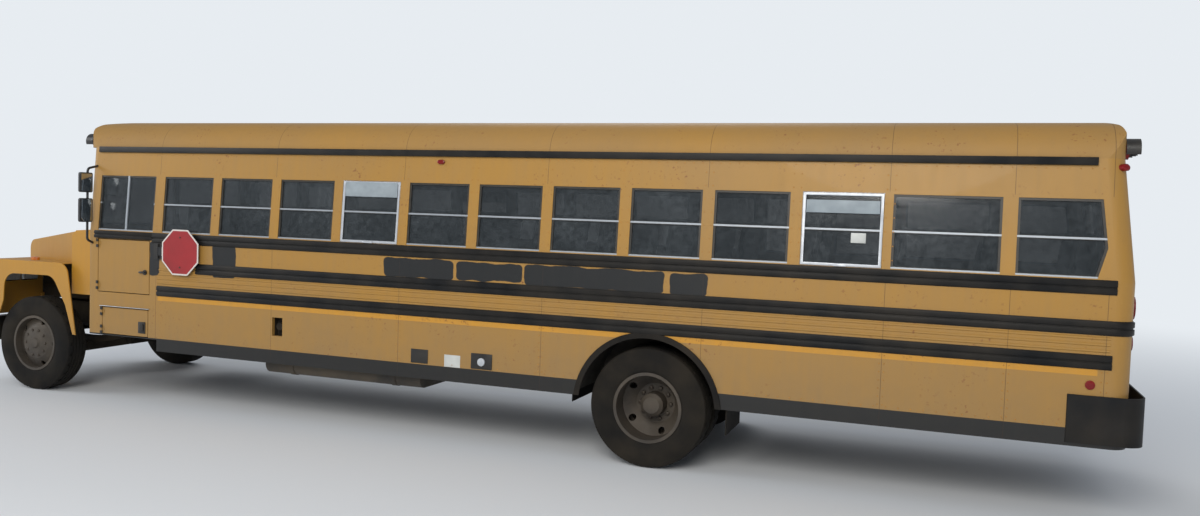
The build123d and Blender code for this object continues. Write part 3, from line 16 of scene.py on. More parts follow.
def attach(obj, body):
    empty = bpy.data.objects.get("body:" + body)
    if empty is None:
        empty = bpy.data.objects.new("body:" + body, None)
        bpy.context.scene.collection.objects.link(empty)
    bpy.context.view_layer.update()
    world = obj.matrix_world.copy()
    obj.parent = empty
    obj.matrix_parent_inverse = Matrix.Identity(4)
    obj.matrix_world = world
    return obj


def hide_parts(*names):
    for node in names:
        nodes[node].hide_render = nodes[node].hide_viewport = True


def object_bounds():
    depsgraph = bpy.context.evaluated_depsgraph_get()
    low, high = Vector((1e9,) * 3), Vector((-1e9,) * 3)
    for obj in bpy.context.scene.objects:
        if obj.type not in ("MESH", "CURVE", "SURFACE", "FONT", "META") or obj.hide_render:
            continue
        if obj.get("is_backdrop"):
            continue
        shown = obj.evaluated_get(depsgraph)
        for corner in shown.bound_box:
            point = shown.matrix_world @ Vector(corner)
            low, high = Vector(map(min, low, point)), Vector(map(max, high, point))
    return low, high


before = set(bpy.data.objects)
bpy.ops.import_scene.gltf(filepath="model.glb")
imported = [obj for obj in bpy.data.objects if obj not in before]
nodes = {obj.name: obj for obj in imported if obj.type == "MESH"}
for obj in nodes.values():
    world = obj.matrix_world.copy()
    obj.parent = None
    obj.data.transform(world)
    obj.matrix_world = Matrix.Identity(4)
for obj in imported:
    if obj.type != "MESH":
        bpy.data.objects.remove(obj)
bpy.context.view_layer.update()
scene = bpy.context.scene

# %% [markdown]
# The camera comes first, because every later choice is judged through it.
# It stands 9 m from the bus's middle line, near the rear third of the driver's side, looks a little
# forward and down, and leans by two degrees. The lens is given in pixels of the image's width, and a
# small shift centres it.

# %% Camera
IMAGE_WIDTH, SENSOR_WIDTH = 1200, 36
FOCAL_PIXELS = 972.5
CENTRE_SHIFT = (10.8 / IMAGE_WIDTH, 1.5 / IMAGE_WIDTH)
EYE = Vector((4.4095, -8.960, 2.1505))
YAW, PITCH, ROLL = (math.radians(angle) for angle in (20.285, 2.85, 1.905))

forward = Vector((-math.sin(YAW) * math.cos(PITCH), math.cos(YAW) * math.cos(PITCH), -math.sin(PITCH)))
level = Vector((math.cos(YAW), math.sin(YAW), 0))
upward = level.cross(forward)
right = math.cos(ROLL) * level + math.sin(ROLL) * upward
up = -math.sin(ROLL) * level + math.cos(ROLL) * upward

lens = bpy.data.cameras.new("camera")
lens.sensor_width = SENSOR_WIDTH
lens.lens = FOCAL_PIXELS / IMAGE_WIDTH * SENSOR_WIDTH
lens.shift_x, lens.shift_y = CENTRE_SHIFT
lens.clip_end = 200
camera = bpy.data.objects.new("camera", lens)
scene.collection.objects.link(camera)
turn = Matrix((right, up, -forward)).transposed().to_4x4()
camera.matrix_world = Matrix.Translation(EYE) @ turn
scene.camera = camera
print("lens", round(lens.lens, 2), "mm")

# %% [markdown]
# Materials are written as sums. A small class wraps a socket, so that `1 - mask` or `mask * 0.4` adds
# the Math node by itself. A Recipe is one material: it makes any node with its settings and inputs,
# mixes colours, and ends in one Principled shader.

# %% Sockets that can be added and multiplied


class Wire:
    """A value that runs through a material, with the usual arithmetic."""

    def __init__(self, recipe, socket):
        self.recipe = recipe
        self.socket = socket

    def maths(self, operation, *values, clamp=False):
        settings = {"operation": operation, "use_clamp": clamp}
        return self.recipe.node("ShaderNodeMath", settings, dict(enumerate(values)))

    def __add__(self, other):
        return self.maths("ADD", self, other)

    def __sub__(self, other):
        return self.maths("SUBTRACT", self, other)

    def __rsub__(self, other):
        return self.maths("SUBTRACT", other, self)

    def __mul__(self, other):
        return self.maths("MULTIPLY", self, other)

    def __truediv__(self, other):
        return self.maths("DIVIDE", self, other)

    def clamped(self):
        return self.maths("ADD", self, 0.0, clamp=True)

    def size(self):
        return self.maths("ABSOLUTE", self)

    def root(self):
        return self.maths("SQRT", self)

    def over(self, other):
        return self.maths("MAXIMUM", self, other)


class Recipe:
    """One material, built node by node."""

    def __init__(self, name, roughness=0.5, metallic=0.0, coat=0.0):
        self.material = bpy.data.materials.new(name)
        self.material.use_nodes = True
        self.tree = self.material.node_tree
        self.shader = self.tree.nodes["Principled BSDF"]
        self.shader.inputs["Roughness"].default_value = roughness
        self.shader.inputs["Metallic"].default_value = metallic
        self.shader.inputs["Coat Weight"].default_value = coat
        place = self.tree.nodes.new("ShaderNodeTexCoord")
        self.place = Wire(self, place.outputs["Object"])
        split = self.tree.nodes.new("ShaderNodeSeparateXYZ")
        self.tree.links.new(place.outputs["Object"], split.inputs[0])
        self.x, self.y, self.z = (Wire(self, split.outputs[i]) for i in range(3))

    def node(self, kind, settings=None, inputs=None, out=0):
        made = self.tree.nodes.new(kind)
        for key, value in (settings or {}).items():
            setattr(made, key, value)
        for key, value in (inputs or {}).items():
            if isinstance(value, Wire):
                self.tree.links.new(value.socket, made.inputs[key])
            else:
                made.inputs[key].default_value = value
        return Wire(self, made.outputs[out])

    def noise(self, scale, detail=3.0, stretch=(1, 1, 1)):
        spot = self.node("ShaderNodeVectorMath", {"operation": "MULTIPLY"}, {0: self.place, 1: stretch})
        return self.node("ShaderNodeTexNoise", {}, {"Vector": spot, "Scale": scale, "Detail": detail})

    def above(self, value, level, soft):
        """0 below a level and 1 above it, over a soft width."""
        return ((value - level) / soft).clamped()

    def between(self, value, low, high, soft):
        """1 between two levels and 0 outside them."""
        return self.above(value, low - soft, soft) * (1 - self.above(value, high, soft))

    def line(self, value, at, width):
        """1 on a thin line where a value passes a number."""
        return (1 - (value - at).size() / width).clamped()

    def mix(self, mask, first, second):
        def rgba(colour):
            return colour if isinstance(colour, Wire) else (*colour, 1)
        return self.node("ShaderNodeMix", {"data_type": "RGBA"},
                         {0: mask, 6: rgba(first), 7: rgba(second)}, out=2)

    def use(self, **values):
        """Link wires or colours to the shader, by socket names with _ for a space."""
        for key, value in values.items():
            socket = self.shader.inputs[key.replace("_", " ")]
            if isinstance(value, Wire):
                self.tree.links.new(value.socket, socket)
            else:
                socket.default_value = value

    def bump(self, height, strength, distance):
        made = self.node("ShaderNodeBump", {}, {"Height": height, "Strength": strength, "Distance": distance})
        self.use(Normal=made)


def srgb(red, green, blue):
    """A colour as a screen shows it, 0 to 255, as the linear numbers a shader takes."""
    def linear(channel):
        return ((channel / 255 + 0.055) / 1.055) ** 2.4 if channel > 10 else channel / 255 / 12.92
    return tuple(linear(channel) for channel in (red, green, blue))


print("material helpers ready")

# %% [markdown]
# The body's enamel is school-bus yellow that has faded and carries a film of road dust, and its yellows are
# darkened further as painted shade. The dust is thickest low down, runs in upright streaks and turns the
# gloss dull. Panel joints are thin dark lines with a step in the bump, most of them at every second window
# post, and specks of rust lie between.
# Black patches were brushed over the side, and a fresher stripe lies under the lowest rail.

# %% Paint of the body
# All three yellows are darker than the paint itself. That is painted shade over the whole body, on top of the
# fading in the two older tones.
YELLOW = srgb(170, 125, 46)
YELLOW_FRESH = srgb(208, 146, 24)
YELLOW_FADED_AND_SHADED = srgb(154, 119, 66)
BLACK_PAINT = srgb(15, 17, 18)
DUST = srgb(128, 112, 88)
RUST = srgb(112, 56, 28)
SEAM_BROWN = srgb(50, 34, 20)
# Along X: the joints between panels. Along Z: the window band, which they leave out.
SEAMS = (-3.150, -1.720, -0.300, 1.125, 2.545, 3.965, 4.845, 5.490)
WINDOW_BAND = (1.750, 2.372)
SEAM_WIDTH = 0.0035
SKIRT_BLACK_TOP = 0.703
DUST_FOOT, DUST_REACH = 0.55, 0.9
PATCH_CORNER, PATCH_SOFT, PATCH_WANDER = 0.035, 0.006, 0.05
# Low X, high X, low Z, high Z
PATCHES = [(-0.460, 0.250, 1.496, 1.662), (0.285, 0.930, 1.502, 1.656), (0.950, 2.210, 1.490, 1.666),
           (2.265, 2.580, 1.480, 1.664), (-2.435, -2.155, 1.375, 1.690), (-3.235, -3.105, 1.350, 1.690)]
# Low Z, high Z, front, rear, colour
STRIPE = (1.096, 1.142, -3.120, 5.440, YELLOW_FRESH)


def brushed_patch(paint, low_x, high_x, low_z, high_z):
    """1 inside a rounded rectangle of the driver's side, with an edge that a brush left uneven."""
    across = (paint.x - (low_x + high_x) / 2).size() - ((high_x - low_x) / 2 - PATCH_CORNER)
    rise = (paint.z - (low_z + high_z) / 2).size() - ((high_z - low_z) / 2 - PATCH_CORNER)
    across, rise = across.over(0.0), rise.over(0.0)
    reach = (across * across + rise * rise).root()
    wander = (paint.noise(5.0, 3.0) - 0.5) * PATCH_WANDER
    inside = 1 - paint.above(reach + wander, PATCH_CORNER, PATCH_SOFT)
    driver_side = 1 - paint.above(paint.y, 0, 0.1)
    return inside * driver_side


def weathered(name, tones, dusty=1.0, gloss=0.46, coat=0.08, seams=(), patches=(), black_below=None,
              stripe=None):
    """Enamel in two tones over sheet metal, with what the years left on it."""
    paint = Recipe(name, roughness=gloss, coat=coat)
    broad = paint.noise(0.7, 2.0)
    fine = paint.noise(9.0, 4.0)
    streaks = paint.noise(5.0, 3.0, stretch=(4, 4, 0.35))
    shade = paint.mix((broad * 1.6 - 0.45).clamped(), *tones)
    if stripe:
        low, high, front, rear, tint = stripe
        band = paint.between(paint.z, low, high, 0.004) * paint.between(paint.x, front, rear, 0.010)
        shade = paint.mix(band * (fine * 0.5 + 0.65).clamped(), shade, tint)
    blacks = [brushed_patch(paint, *patch) for patch in patches]
    if black_below:
        blacks.append(1 - paint.above(paint.z, black_below, 0.003))
    black = reduce(Wire.over, blacks) if blacks else None
    low_dust = (1 - (paint.z - DUST_FOOT) / DUST_REACH).clamped()
    dust = ((low_dust * 0.6 + streaks * 0.6 - 0.22) * (fine + 0.35) * dusty).clamped() * 0.6
    if black is not None:
        shade = paint.mix(black, shade, BLACK_PAINT)
        dust = dust * (1 - black * 0.92)
    shade = paint.mix(dust, shade, DUST)
    height = broad * 0.5 + fine * 0.02
    if seams:
        gap = reduce(Wire.over, [paint.line(paint.x, at, SEAM_WIDTH) for at in seams])
        gap = gap * (1 - paint.between(paint.z, *WINDOW_BAND, 0.004))
        shade = paint.mix(gap * 0.75, shade, SEAM_BROWN)
        flecks = ((paint.noise(34.0, 2.0) - 0.62) * 9).clamped()
        specks = flecks * ((paint.noise(3.0, 1.0) - 0.5) * 5).clamped()
        specks = specks if black is None else specks * (1 - black)
        shade = paint.mix(specks * 0.7, shade, RUST)
        height = height - gap * 0.4
    paint.use(Base_Color=shade, Roughness=(dust * 0.5 + fine * 0.1 + gloss - 0.05).clamped())
    paint.bump(height, 0.25, 0.004)
    return paint.material


side_paint = weathered("side enamel", (YELLOW, YELLOW_FADED_AND_SHADED), seams=SEAMS, patches=PATCHES,
                       black_below=SKIRT_BLACK_TOP, stripe=STRIPE)
end_paint = weathered("end enamel", (YELLOW, YELLOW_FADED_AND_SHADED), black_below=SKIRT_BLACK_TOP)
roof_paint = weathered("roof enamel", (YELLOW_FADED_AND_SHADED, YELLOW), dusty=0.8, gloss=0.62, coat=0.0, seams=SEAMS)
nose_paint = weathered("nose enamel", (YELLOW, YELLOW_FRESH), dusty=0.8)
door_paint = weathered("door enamel", (YELLOW, YELLOW_FADED_AND_SHADED), dusty=1.1)
print("paints:", side_paint.name, end_paint.name, roof_paint.name)

# %% [markdown]
# The other finishes share one pattern: two tones broken up by noise, a roughness that varies with them,
# and some of them a film of dust or a fine grain in the bump. Black steel and rubber reflect little.

# %% Other finishes
DULL = 0.22


def plain(name, colour, second, roughness=0.5, metallic=0.0, scale=12.0, grain=0.0, coat=0.0, dust=0.0,
          specular=0.5):
    """A finish with two tones, given as a screen shows them, a varied roughness and some grain."""
    made = Recipe(name, roughness=roughness, metallic=metallic, coat=coat)
    made.shader.inputs["Specular IOR Level"].default_value = specular
    tone = made.noise(scale, 4.0)
    shade = made.mix((tone * 1.8 - 0.4).clamped(), srgb(*colour), srgb(*second))
    if dust:
        film = ((made.noise(3.0, 4.0) * 1.6 - 0.5) * dust).clamped()
        shade = made.mix(film, shade, DUST)
    made.use(Base_Color=shade, Roughness=(tone * 0.25 + roughness - 0.12).clamped())
    if grain:
        made.bump(made.noise(scale * 18, 2.0), grain, 0.001)
    return made.material


trim_black = plain("black trim enamel", (16, 17, 18), (26, 27, 28), 0.42, coat=0.1, dust=0.15)
rail_black = plain("rub rail enamel", (11, 12, 14), (22, 24, 26), 0.48, scale=6,
                   dust=0.12, specular=DULL)
bumper_black = plain("bumper enamel", (13, 14, 16), (26, 27, 29), 0.52, scale=5, grain=0.1,
                     dust=0.14, specular=DULL)
chassis_black = plain("chassis paint", (18, 18, 17), (40, 35, 30), 0.75, scale=8, grain=0.2,
                      dust=0.35, specular=DULL)
rubber = plain("rubber", (12, 12, 13), (22, 22, 23), 0.78, scale=10, grain=0.1,
               dust=0.15, specular=DULL)
tyre_rubber = plain("tyre rubber", (15, 15, 15), (27, 26, 25), 0.88, scale=7, grain=0.3,
                    dust=0.15, specular=DULL)

# The side windows' frames are dark, with a bright sash bar and sill, and a bright post at the driver's.
BAR, SILL, POST = (2.0665, 2.0795), (1.780, 1.801), (-3.578, -3.554)
frames = Recipe("window frames", roughness=0.4)
tarnish = frames.noise(18.0, 3.0)
bar = frames.between(frames.z, *BAR, 0.001)
sill = frames.between(frames.z, *SILL, 0.001)
post = frames.between(frames.x, *POST, 0.001)
lit = bar.over(sill).over(post)
shade = frames.mix((tarnish * 1.6 - 0.3).clamped(), srgb(38, 37, 35), srgb(64, 58, 48))
frames.use(Base_Color=frames.mix(lit, shade, srgb(168, 174, 180)), Metallic=lit * 0.5,
           Roughness=(tarnish * 0.3 + 0.25).clamped())
bright_frame = plain("bright frame", (206, 210, 214), (176, 180, 186), 0.4, 0.4, scale=14)
chrome = plain("grille chrome", (200, 202, 204), (160, 162, 164), 0.18, 1.0, scale=16)
steel = plain("exhaust steel", (120, 108, 96), (84, 62, 46), 0.6, 0.7, scale=9, grain=0.2)
cast_iron = plain("cast iron", (60, 58, 56), (44, 42, 40), 0.7, 0.4, scale=14, grain=0.4)
rim_paint = plain("wheel paint", (74, 68, 62), (46, 42, 38), 0.62, 0.1, scale=7, grain=0.1, dust=0.35)
tank_paint = plain("tank paint", (36, 35, 34), (54, 50, 46), 0.6, scale=7, grain=0.15, dust=0.6)
floor_rubber = plain("floor rubber", (52, 52, 50), (38, 38, 37), 0.8, scale=8, grain=0.2, dust=0.4)
dash_black = plain("dash plastic", (34, 34, 35), (46, 46, 46), 0.6, scale=10, grain=0.4)
red_lens = plain("red lens", (132, 12, 12), (98, 8, 10), 0.30, scale=30, grain=0.2, coat=0.2,
                 specular=0.3)
amber_lens = plain("amber lens", (206, 116, 20), (176, 88, 12), 0.22, scale=30, grain=0.2, coat=0.6)
seat_vinyl = plain("seat vinyl", (46, 58, 50), (34, 44, 38), 0.5, scale=12, grain=0.5, coat=0.1)
paper_white = plain("blank label", (206, 208, 204), (180, 182, 178), 0.55, scale=9)
strip_grey = plain("blank strip", (158, 168, 174), (130, 140, 146), 0.55, scale=9)
nut_steel = plain("wheel nut steel", (96, 90, 82), (62, 50, 40), 0.55, 0.6, scale=60, grain=0.2)
mirror_glass = plain("mirror glass", (190, 196, 200), (170, 176, 182), 0.04, 1.0, scale=3)
rivet_paint = plain("rivet enamel", (190, 132, 46), (150, 104, 44), 0.5, scale=30)
mirror_black = plain("mirror shell", (28, 28, 29), (40, 40, 41), 0.42, scale=10, grain=0.2)

# Glass shows the cabin through it, under a patchy film of dust.
glass = Recipe("window glass", roughness=0.06, coat=0.3)
film = glass.noise(1.6, 3.0) * glass.noise(24.0, 3.0)
glass.use(Base_Color=glass.mix((film * 1.1).clamped(), srgb(20, 27, 30), srgb(96, 102, 106)),
          Alpha=(film * 0.35 + 0.58).clamped(), Roughness=(film * 0.3 + 0.03).clamped())
lamp_glass = plain("headlamp glass", (206, 210, 212), (170, 176, 180), 0.12, 0.2, scale=60, grain=0.6,
                   coat=0.5)

# The sign is red inside a pale border. Its distance from the centre is measured as an octagon.
SIGN_X, SIGN_Z, SIGN_SIZE, SIGN_BORDER = -2.803, 1.600, 0.457, 0.014
sign_rim = SIGN_SIZE / 2 + 0.0015
octagon = Recipe("sign face", roughness=0.42, coat=0.1)
across, rise = octagon.x - SIGN_X, octagon.z - SIGN_Z
diagonal = (across.size() + rise.size()) * math.sqrt(0.5)
reach = across.size().over(rise.size()).over(diagonal)
edge = octagon.between(reach, SIGN_SIZE / 2 - SIGN_BORDER, sign_rim, 0.001)
arm = octagon.above(reach, sign_rim, 0.001)
fade = octagon.noise(6.0, 4.0)
red = octagon.mix((fade * 1.6 - 0.3).clamped(), srgb(164, 30, 34), srgb(138, 26, 30))
face = octagon.mix(edge, red, srgb(214, 206, 200))
octagon.use(Base_Color=octagon.mix(arm, face, srgb(26, 26, 27)), Roughness=(fade * 0.2 + 0.32).clamped())

finishes = {
    side_paint: "side_wall_left side_wall_right",
    end_paint: "front_wall rear_wall emergency_door",
    roof_paint: "roof_shell",
    nose_paint: "tilting_hood cowl",
    door_paint: "access_door battery_door",
    trim_black: "entrance_frame lamp_visors hinge_fittings door_leaf_front door_leaf_rear",
    rail_black: "rub_rails",
    rubber: "arch_lips mud_flaps",
    bumper_black: "front_bumper rear_bumper",
    chassis_black: "ladder_frame drive_shaft front_axle rear_axle door_boxes seat_legs knuckle_left "
                   "knuckle_right cross_members",
    frames.material: "window_frames",
    glass.material: "window_glass door_glass_front door_glass_rear emergency_glass",
    chrome: "grille",
    steel: "exhaust_pipe",
    cast_iron: "engine_block radiator",
    rim_paint: "front_rim_left front_rim_right rear_rims_left rear_rims_right",
    tyre_rubber: "front_tyre_left front_tyre_right rear_tyres_left rear_tyres_right",
    tank_paint: "fuel_tank",
    floor_rubber: "floor_pan stepwell",
    dash_black: "dashboard steering_wheel",
    red_lens: "red_lamps",
    amber_lens: "amber_lamps",
    lamp_glass: "headlamps",
    mirror_black: "mirrors",
    seat_vinyl: "seat_cushions seat_backs",
    octagon.material: "stop_sign",
}
dressed = 0
for material, names in finishes.items():
    for name in names.split():
        for slot in nodes[name].material_slots:
            slot.material = material
        dressed += 1
print("nodes dressed:", dressed, "of", len(nodes))

# %% [markdown]
# New pieces start as primitives and are shaped in edit mode or by a modifier that is applied at once.
# These few helpers keep the steps short: start a piece, select faces by a test on their centre and
# normal, and settle the piece with its finish on its body.

# %% Helpers for new pieces


def mode(name):
    if bpy.context.object and bpy.context.object.mode != name:
        bpy.ops.object.mode_set(mode=name)


def deselect():
    mode("OBJECT")
    bpy.ops.object.select_all(action="DESELECT")


def start(kind, name, **sizes):
    """Add a primitive with nothing else selected."""
    deselect()
    getattr(bpy.ops.mesh, f"primitive_{kind}_add")(**sizes)
    piece = bpy.context.object
    piece.name = piece.data.name = name
    bpy.ops.object.transform_apply(location=True, rotation=True, scale=True)
    return piece


def choose_faces(piece, test):
    """In edit mode, select just the faces whose centre and normal pass a test."""
    mode("OBJECT")
    mesh = piece.data
    for item in (*mesh.vertices, *mesh.edges):
        item.select = False
    for face in mesh.polygons:
        face.select = bool(test(face.center, face.normal))
    mode("EDIT")
    bpy.ops.mesh.select_mode(type="FACE")


def cut(axis, at, **settings):
    """In edit mode, cut the whole piece across an axis, 0 for X to 2 for Z."""
    across = Vector([k == axis for k in range(3)])
    bpy.ops.mesh.select_all(action="SELECT")
    bpy.ops.mesh.bisect(plane_co=across * at, plane_no=across, **settings)


def inset_face(piece, axis, *steps):
    """Inset the faces that look along an axis and push them along it, once or more."""
    choose_faces(piece, lambda c, n: n.dot(axis) > 0.9)
    for inset, push in steps:
        bpy.ops.mesh.inset(thickness=inset)
        bpy.ops.transform.translate(value=axis * push)
    mode("OBJECT")


def apply_modifier(piece, kind, **settings):
    """Add one modifier and apply it."""
    mode("OBJECT")
    modifier = piece.modifiers.new(kind.lower(), kind)
    for key, value in settings.items():
        setattr(modifier, key, value)
    bpy.context.view_layer.objects.active = piece
    bpy.ops.object.modifier_apply(modifier=modifier.name)


def rounded(piece, radius, segments=2):
    apply_modifier(piece, "BEVEL", width=radius, segments=segments, limit_method="ANGLE")


def twin(piece, name):
    """A copy with its own mesh."""
    other = piece.copy()
    other.data = piece.data.copy()
    other.name = other.data.name = name
    scene.collection.objects.link(other)
    return other


def place(piece, matrix):
    """Move the mesh itself, so that the object stays at the origin."""
    piece.data.transform(matrix)
    if matrix.determinant() < 0:
        piece.data.flip_normals()
    return piece


def discard(*pieces):
    for piece in pieces:
        bpy.data.objects.remove(piece)


def join(parts, name):
    deselect()
    for part in parts:
        part.select_set(True)
    bpy.context.view_layer.objects.active = parts[0]
    bpy.ops.object.join()
    parts[0].name = parts[0].data.name = name
    return parts[0]


def settle(piece, body, material, angle=35):
    """Smooth the shading, give the finish and ride on a body."""
    deselect()
    piece.select_set(True)
    bpy.context.view_layer.objects.active = piece
    bpy.ops.object.shade_smooth_by_angle(angle=math.radians(angle))
    piece.data.materials.clear()
    piece.data.materials.append(material)
    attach(piece, body)
    added.append(piece.name)
    return piece


added = []
MIRROR = Matrix.Scale(-1, 4, (0, 1, 0))
SIDES = (("left", -1), ("right", 1))
COPIES = (("left", Matrix.Identity(4)), ("right", MIRROR))


def block(name, low, high):
    """A box between two corners."""
    size = [b - a for a, b in zip(low, high)]
    centre = [(a + b) / 2 for a, b in zip(low, high)]
    return start("cube", name, size=1, location=centre, scale=size)


def slab(name, low, high, radius=0.003):
    """The same with rounded edges."""
    piece = block(name, low, high)
    rounded(piece, min(radius, min(b - a for a, b in zip(low, high)) * 0.45))
    return piece


def stub(name, centre, axis, radius, length, sides=24, edge=0.002):
    """A short round bar along an axis, with its rims rounded."""
    turned = Vector(axis).to_track_quat("Z", "Y").to_euler()
    piece = start("cylinder", name, vertices=sides, radius=radius, depth=length, location=centre,
                  rotation=turned)
    rounded(piece, edge)
    return piece


print("helpers ready")

# %% [markdown]
# The side wall leans in above the belt. Whatever is fixed there is modelled upright, with the belt as
# its zero height, and then laid onto the wall by one matrix.

# %% The leaning side wall
HALF_WIDTH, REAR_FACE, BELT, DRIP = 1.219, 5.668, 1.765, 2.648
SIDE_LEAN = math.atan2(0.070, DRIP - BELT)
ON_SIDE = Matrix.Translation((0, -HALF_WIDTH, BELT)) @ Matrix.Rotation(-SIDE_LEAN, 4, "X")


def up_side(z):
    """Distance up the leaning wall from the belt to a height."""
    return (z - BELT) / math.cos(SIDE_LEAN)


print("side lean", round(math.degrees(SIDE_LEAN), 2), "degrees")

# %% [markdown]
# A bus tyre is a tread belt between two bulging sidewalls. One open cylinder is the belt. Its two rims
# are extruded together and resized about the wheel's centre, step by step, down to the beads. Cuts
# across the axle part the belt into ribs; the narrow rings and the notches at the shoulders are sunk.
# The six tyres are copies of this one mesh, and each replaces the plain solid of the frame.

# %% Treaded tyre
TYRE_RADIUS, TREAD_HALF, SHOULDER = 0.510, 0.093, 0.063
GROOVES, GROOVE_HALF, GROOVE_DEPTH = (-0.058, -0.020, 0.020, 0.058), 0.0045, 0.011
SEGMENTS, NOTCH_EVERY = 84, 3
# Half width and radius, from the shoulder down to the bead
SIDEWALL = [(0.112, 0.501), (0.122, 0.475), (0.1295, 0.425), (0.1295, 0.385), (0.124, 0.335), (0.112, 0.302),
            (0.104, 0.292), (0.088, 0.287)]


def open_rims(piece):
    """Select the two open edge loops of a tube."""
    mode("EDIT")
    bpy.ops.mesh.select_mode(type="EDGE")
    bpy.ops.mesh.select_all(action="DESELECT")
    bpy.ops.mesh.select_non_manifold(extend=False, use_wire=False, use_multi_face=False,
                                     use_non_contiguous=False, use_verts=False)


tyre = start("cylinder", "tyre", vertices=SEGMENTS, radius=TYRE_RADIUS - 0.001, depth=2 * TREAD_HALF,
             end_fill_type="NOTHING", rotation=(math.radians(90), 0, 0))
half, radius = TREAD_HALF, TYRE_RADIUS
for next_half, next_radius in SIDEWALL:
    open_rims(tyre)
    bpy.ops.mesh.extrude_region_move()
    bpy.ops.transform.resize(value=(next_radius / radius, next_half / half, next_radius / radius),
                             center_override=(0, 0, 0))
    half, radius = next_half, next_radius
for groove in GROOVES:
    for edge_y in (groove - GROOVE_HALF, groove + GROOVE_HALF):
        cut(1, edge_y)


def sunk(centre, normal):
    """True on the belt, in a groove or in every third step of a shoulder."""
    if abs(centre.y) > TREAD_HALF:
        return False
    step = round((math.degrees(math.atan2(centre.z, centre.x)) % 360) / 360 * SEGMENTS - 0.5)
    in_groove = min(abs(centre.y - groove) for groove in GROOVES) < GROOVE_HALF
    return in_groove or abs(centre.y) > SHOULDER and step % NOTCH_EVERY == 0


choose_faces(tyre, sunk)
bpy.ops.mesh.extrude_region_shrink_fatten(TRANSFORM_OT_shrink_fatten={"value": -GROOVE_DEPTH})
mode("OBJECT")

FRONT_AXLE, REAR_AXLE = -4.922, 2.088
FRONT_Y, OUTER_Y, INNER_Y = 1.020, 1.045, 0.715
# The rear wheels are twins, so that their names are plural.
for end, axle, plural, centres in (("front", FRONT_AXLE, "", (FRONT_Y,)),
                                   ("rear", REAR_AXLE, "s", (OUTER_Y, INNER_Y))):
    for side, sign in SIDES:
        name = f"tyre{plural}_{end}_{side}"
        copies = [place(twin(tyre, f"{name}_{i}"), Matrix.Translation((axle, sign * y, TYRE_RADIUS)))
                  for i, y in enumerate(centres)]
        wheel = join(copies, name)
        settle(wheel, f"wheel{plural}_{end}_{side}", tyre_rubber, angle=30)
        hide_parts(f"{end}_tyre{plural}_{side}")
discard(tyre)
print("tyre faces each:", len(wheel.data.polygons) // 2)

# %% [markdown]
# Wheel nuts are hexagons with a rounded crown, ten on each disc. One nut is turned round the axle ten
# times. The front ones stand on the disc, the rear ones lie deep in the dished outer wheel.

# %% Wheel nuts
NUTS, NUT_LENGTH = 10, 0.030
# End, body, axle, distance out, radius of the circle, radius of a nut
nut_places = [("front", "wheel_front", FRONT_AXLE, 1.112, 0.140, 0.016),
              ("rear", "wheels_rear", REAR_AXLE, 0.902, 0.137, 0.018)]
for end, body, axle, out, circle, nut_radius in nut_places:
    for side, sign in SIDES:
        hub = Matrix.Translation((axle, sign * out, TYRE_RADIUS))
        nut = stub("nut", (circle, 0, 0), (0, 1, 0), nut_radius, NUT_LENGTH, sides=6, edge=0.004)
        ring = [place(twin(nut, f"nut_{i}"), hub @ Matrix.Rotation(2 * math.pi * i / NUTS, 4, "Y"))
                for i in range(NUTS)]
        discard(nut)
        settle(join(ring, f"wheel_nuts_{end}_{side}"), f"{body}_{side}", nut_steel)
print("nuts:", 4 * NUTS)

# %% [markdown]
# Two windows a side push out in an emergency. They have a broad bright frame that stands proud of the
# wall, and a strip at the top of the glass that is left blank here. The ring is a plate whose middle
# is inset and deleted, then given its thickness.

# %% Push-out windows
# Centre along X, then the strip's low and high edge
PUSH_OUTS = [(-0.646, 2.215, 2.350), (3.620, 2.200, 2.300)]
FRAME_LOW, FRAME_HIGH, FRAME_WIDTH = 1.780, 2.366, 0.628
FRAME_FACE, FRAME_THICK, STRIP_INSET = 0.030, 0.011, 0.035
HANDLE_HALF, HANDLE_LOW, HANDLE_HIGH = 0.05, 0.006, 0.022
for number, (x, strip_low, strip_high) in enumerate(PUSH_OUTS, 1):
    low, high = up_side(FRAME_LOW), up_side(FRAME_HIGH)
    ring = start("plane", "ring", size=1, rotation=(math.radians(90), 0, 0))
    stretch = Matrix.Diagonal((FRAME_WIDTH, 1, high - low, 1))
    place(ring, Matrix.Translation((x, 0, (low + high) / 2)) @ stretch)
    mode("EDIT")
    bpy.ops.mesh.select_all(action="SELECT")
    bpy.ops.mesh.inset(thickness=FRAME_FACE)
    bpy.ops.mesh.delete(type="FACE")
    mode("OBJECT")
    apply_modifier(ring, "SOLIDIFY", thickness=FRAME_THICK, offset=-1)
    rounded(ring, 0.003)
    handle = slab("handle", (x - HANDLE_HALF, -0.016, low + HANDLE_LOW),
                  (x + HANDLE_HALF, -0.009, low + HANDLE_HIGH), 0.002)
    frame_left = place(join([ring, handle], "push_out"), ON_SIDE)
    strip_half = FRAME_WIDTH / 2 - STRIP_INSET
    strip = slab("strip", (x - strip_half, -0.0025, up_side(strip_low)),
                 (x + strip_half, 0.012, up_side(strip_high)), 0.001)
    place(strip, ON_SIDE)
    for side, matrix in COPIES:
        settle(place(twin(frame_left, f"push_out_frame_{number}_{side}"), matrix), "bus", bright_frame)
        settle(place(twin(strip, f"blank_strip_{number}_{side}"), matrix), "bus", strip_grey)
    discard(frame_left, strip)
slip = slab("blank_slip", (3.692, 0.006, up_side(1.973)), (3.804, 0.0125, up_side(2.050)), 0.0005)
settle(place(slip, ON_SIDE), "bus", paper_white)
print("push-out windows:", 2 * len(PUSH_OUTS))

# %% [markdown]
# Rub rails take the knocks of gates and posts. Each is a rolled steel bar with two raised ribs and a
# groove between them, where its rivets sit. A long bar is cut along its length, two of its strips are
# extruded outwards, and a bevel rounds them. The middle rail turns the rear corner: its end is spun
# through a quarter turn. The drip rail over the windows is a gutter: its top is inset and pushed down.

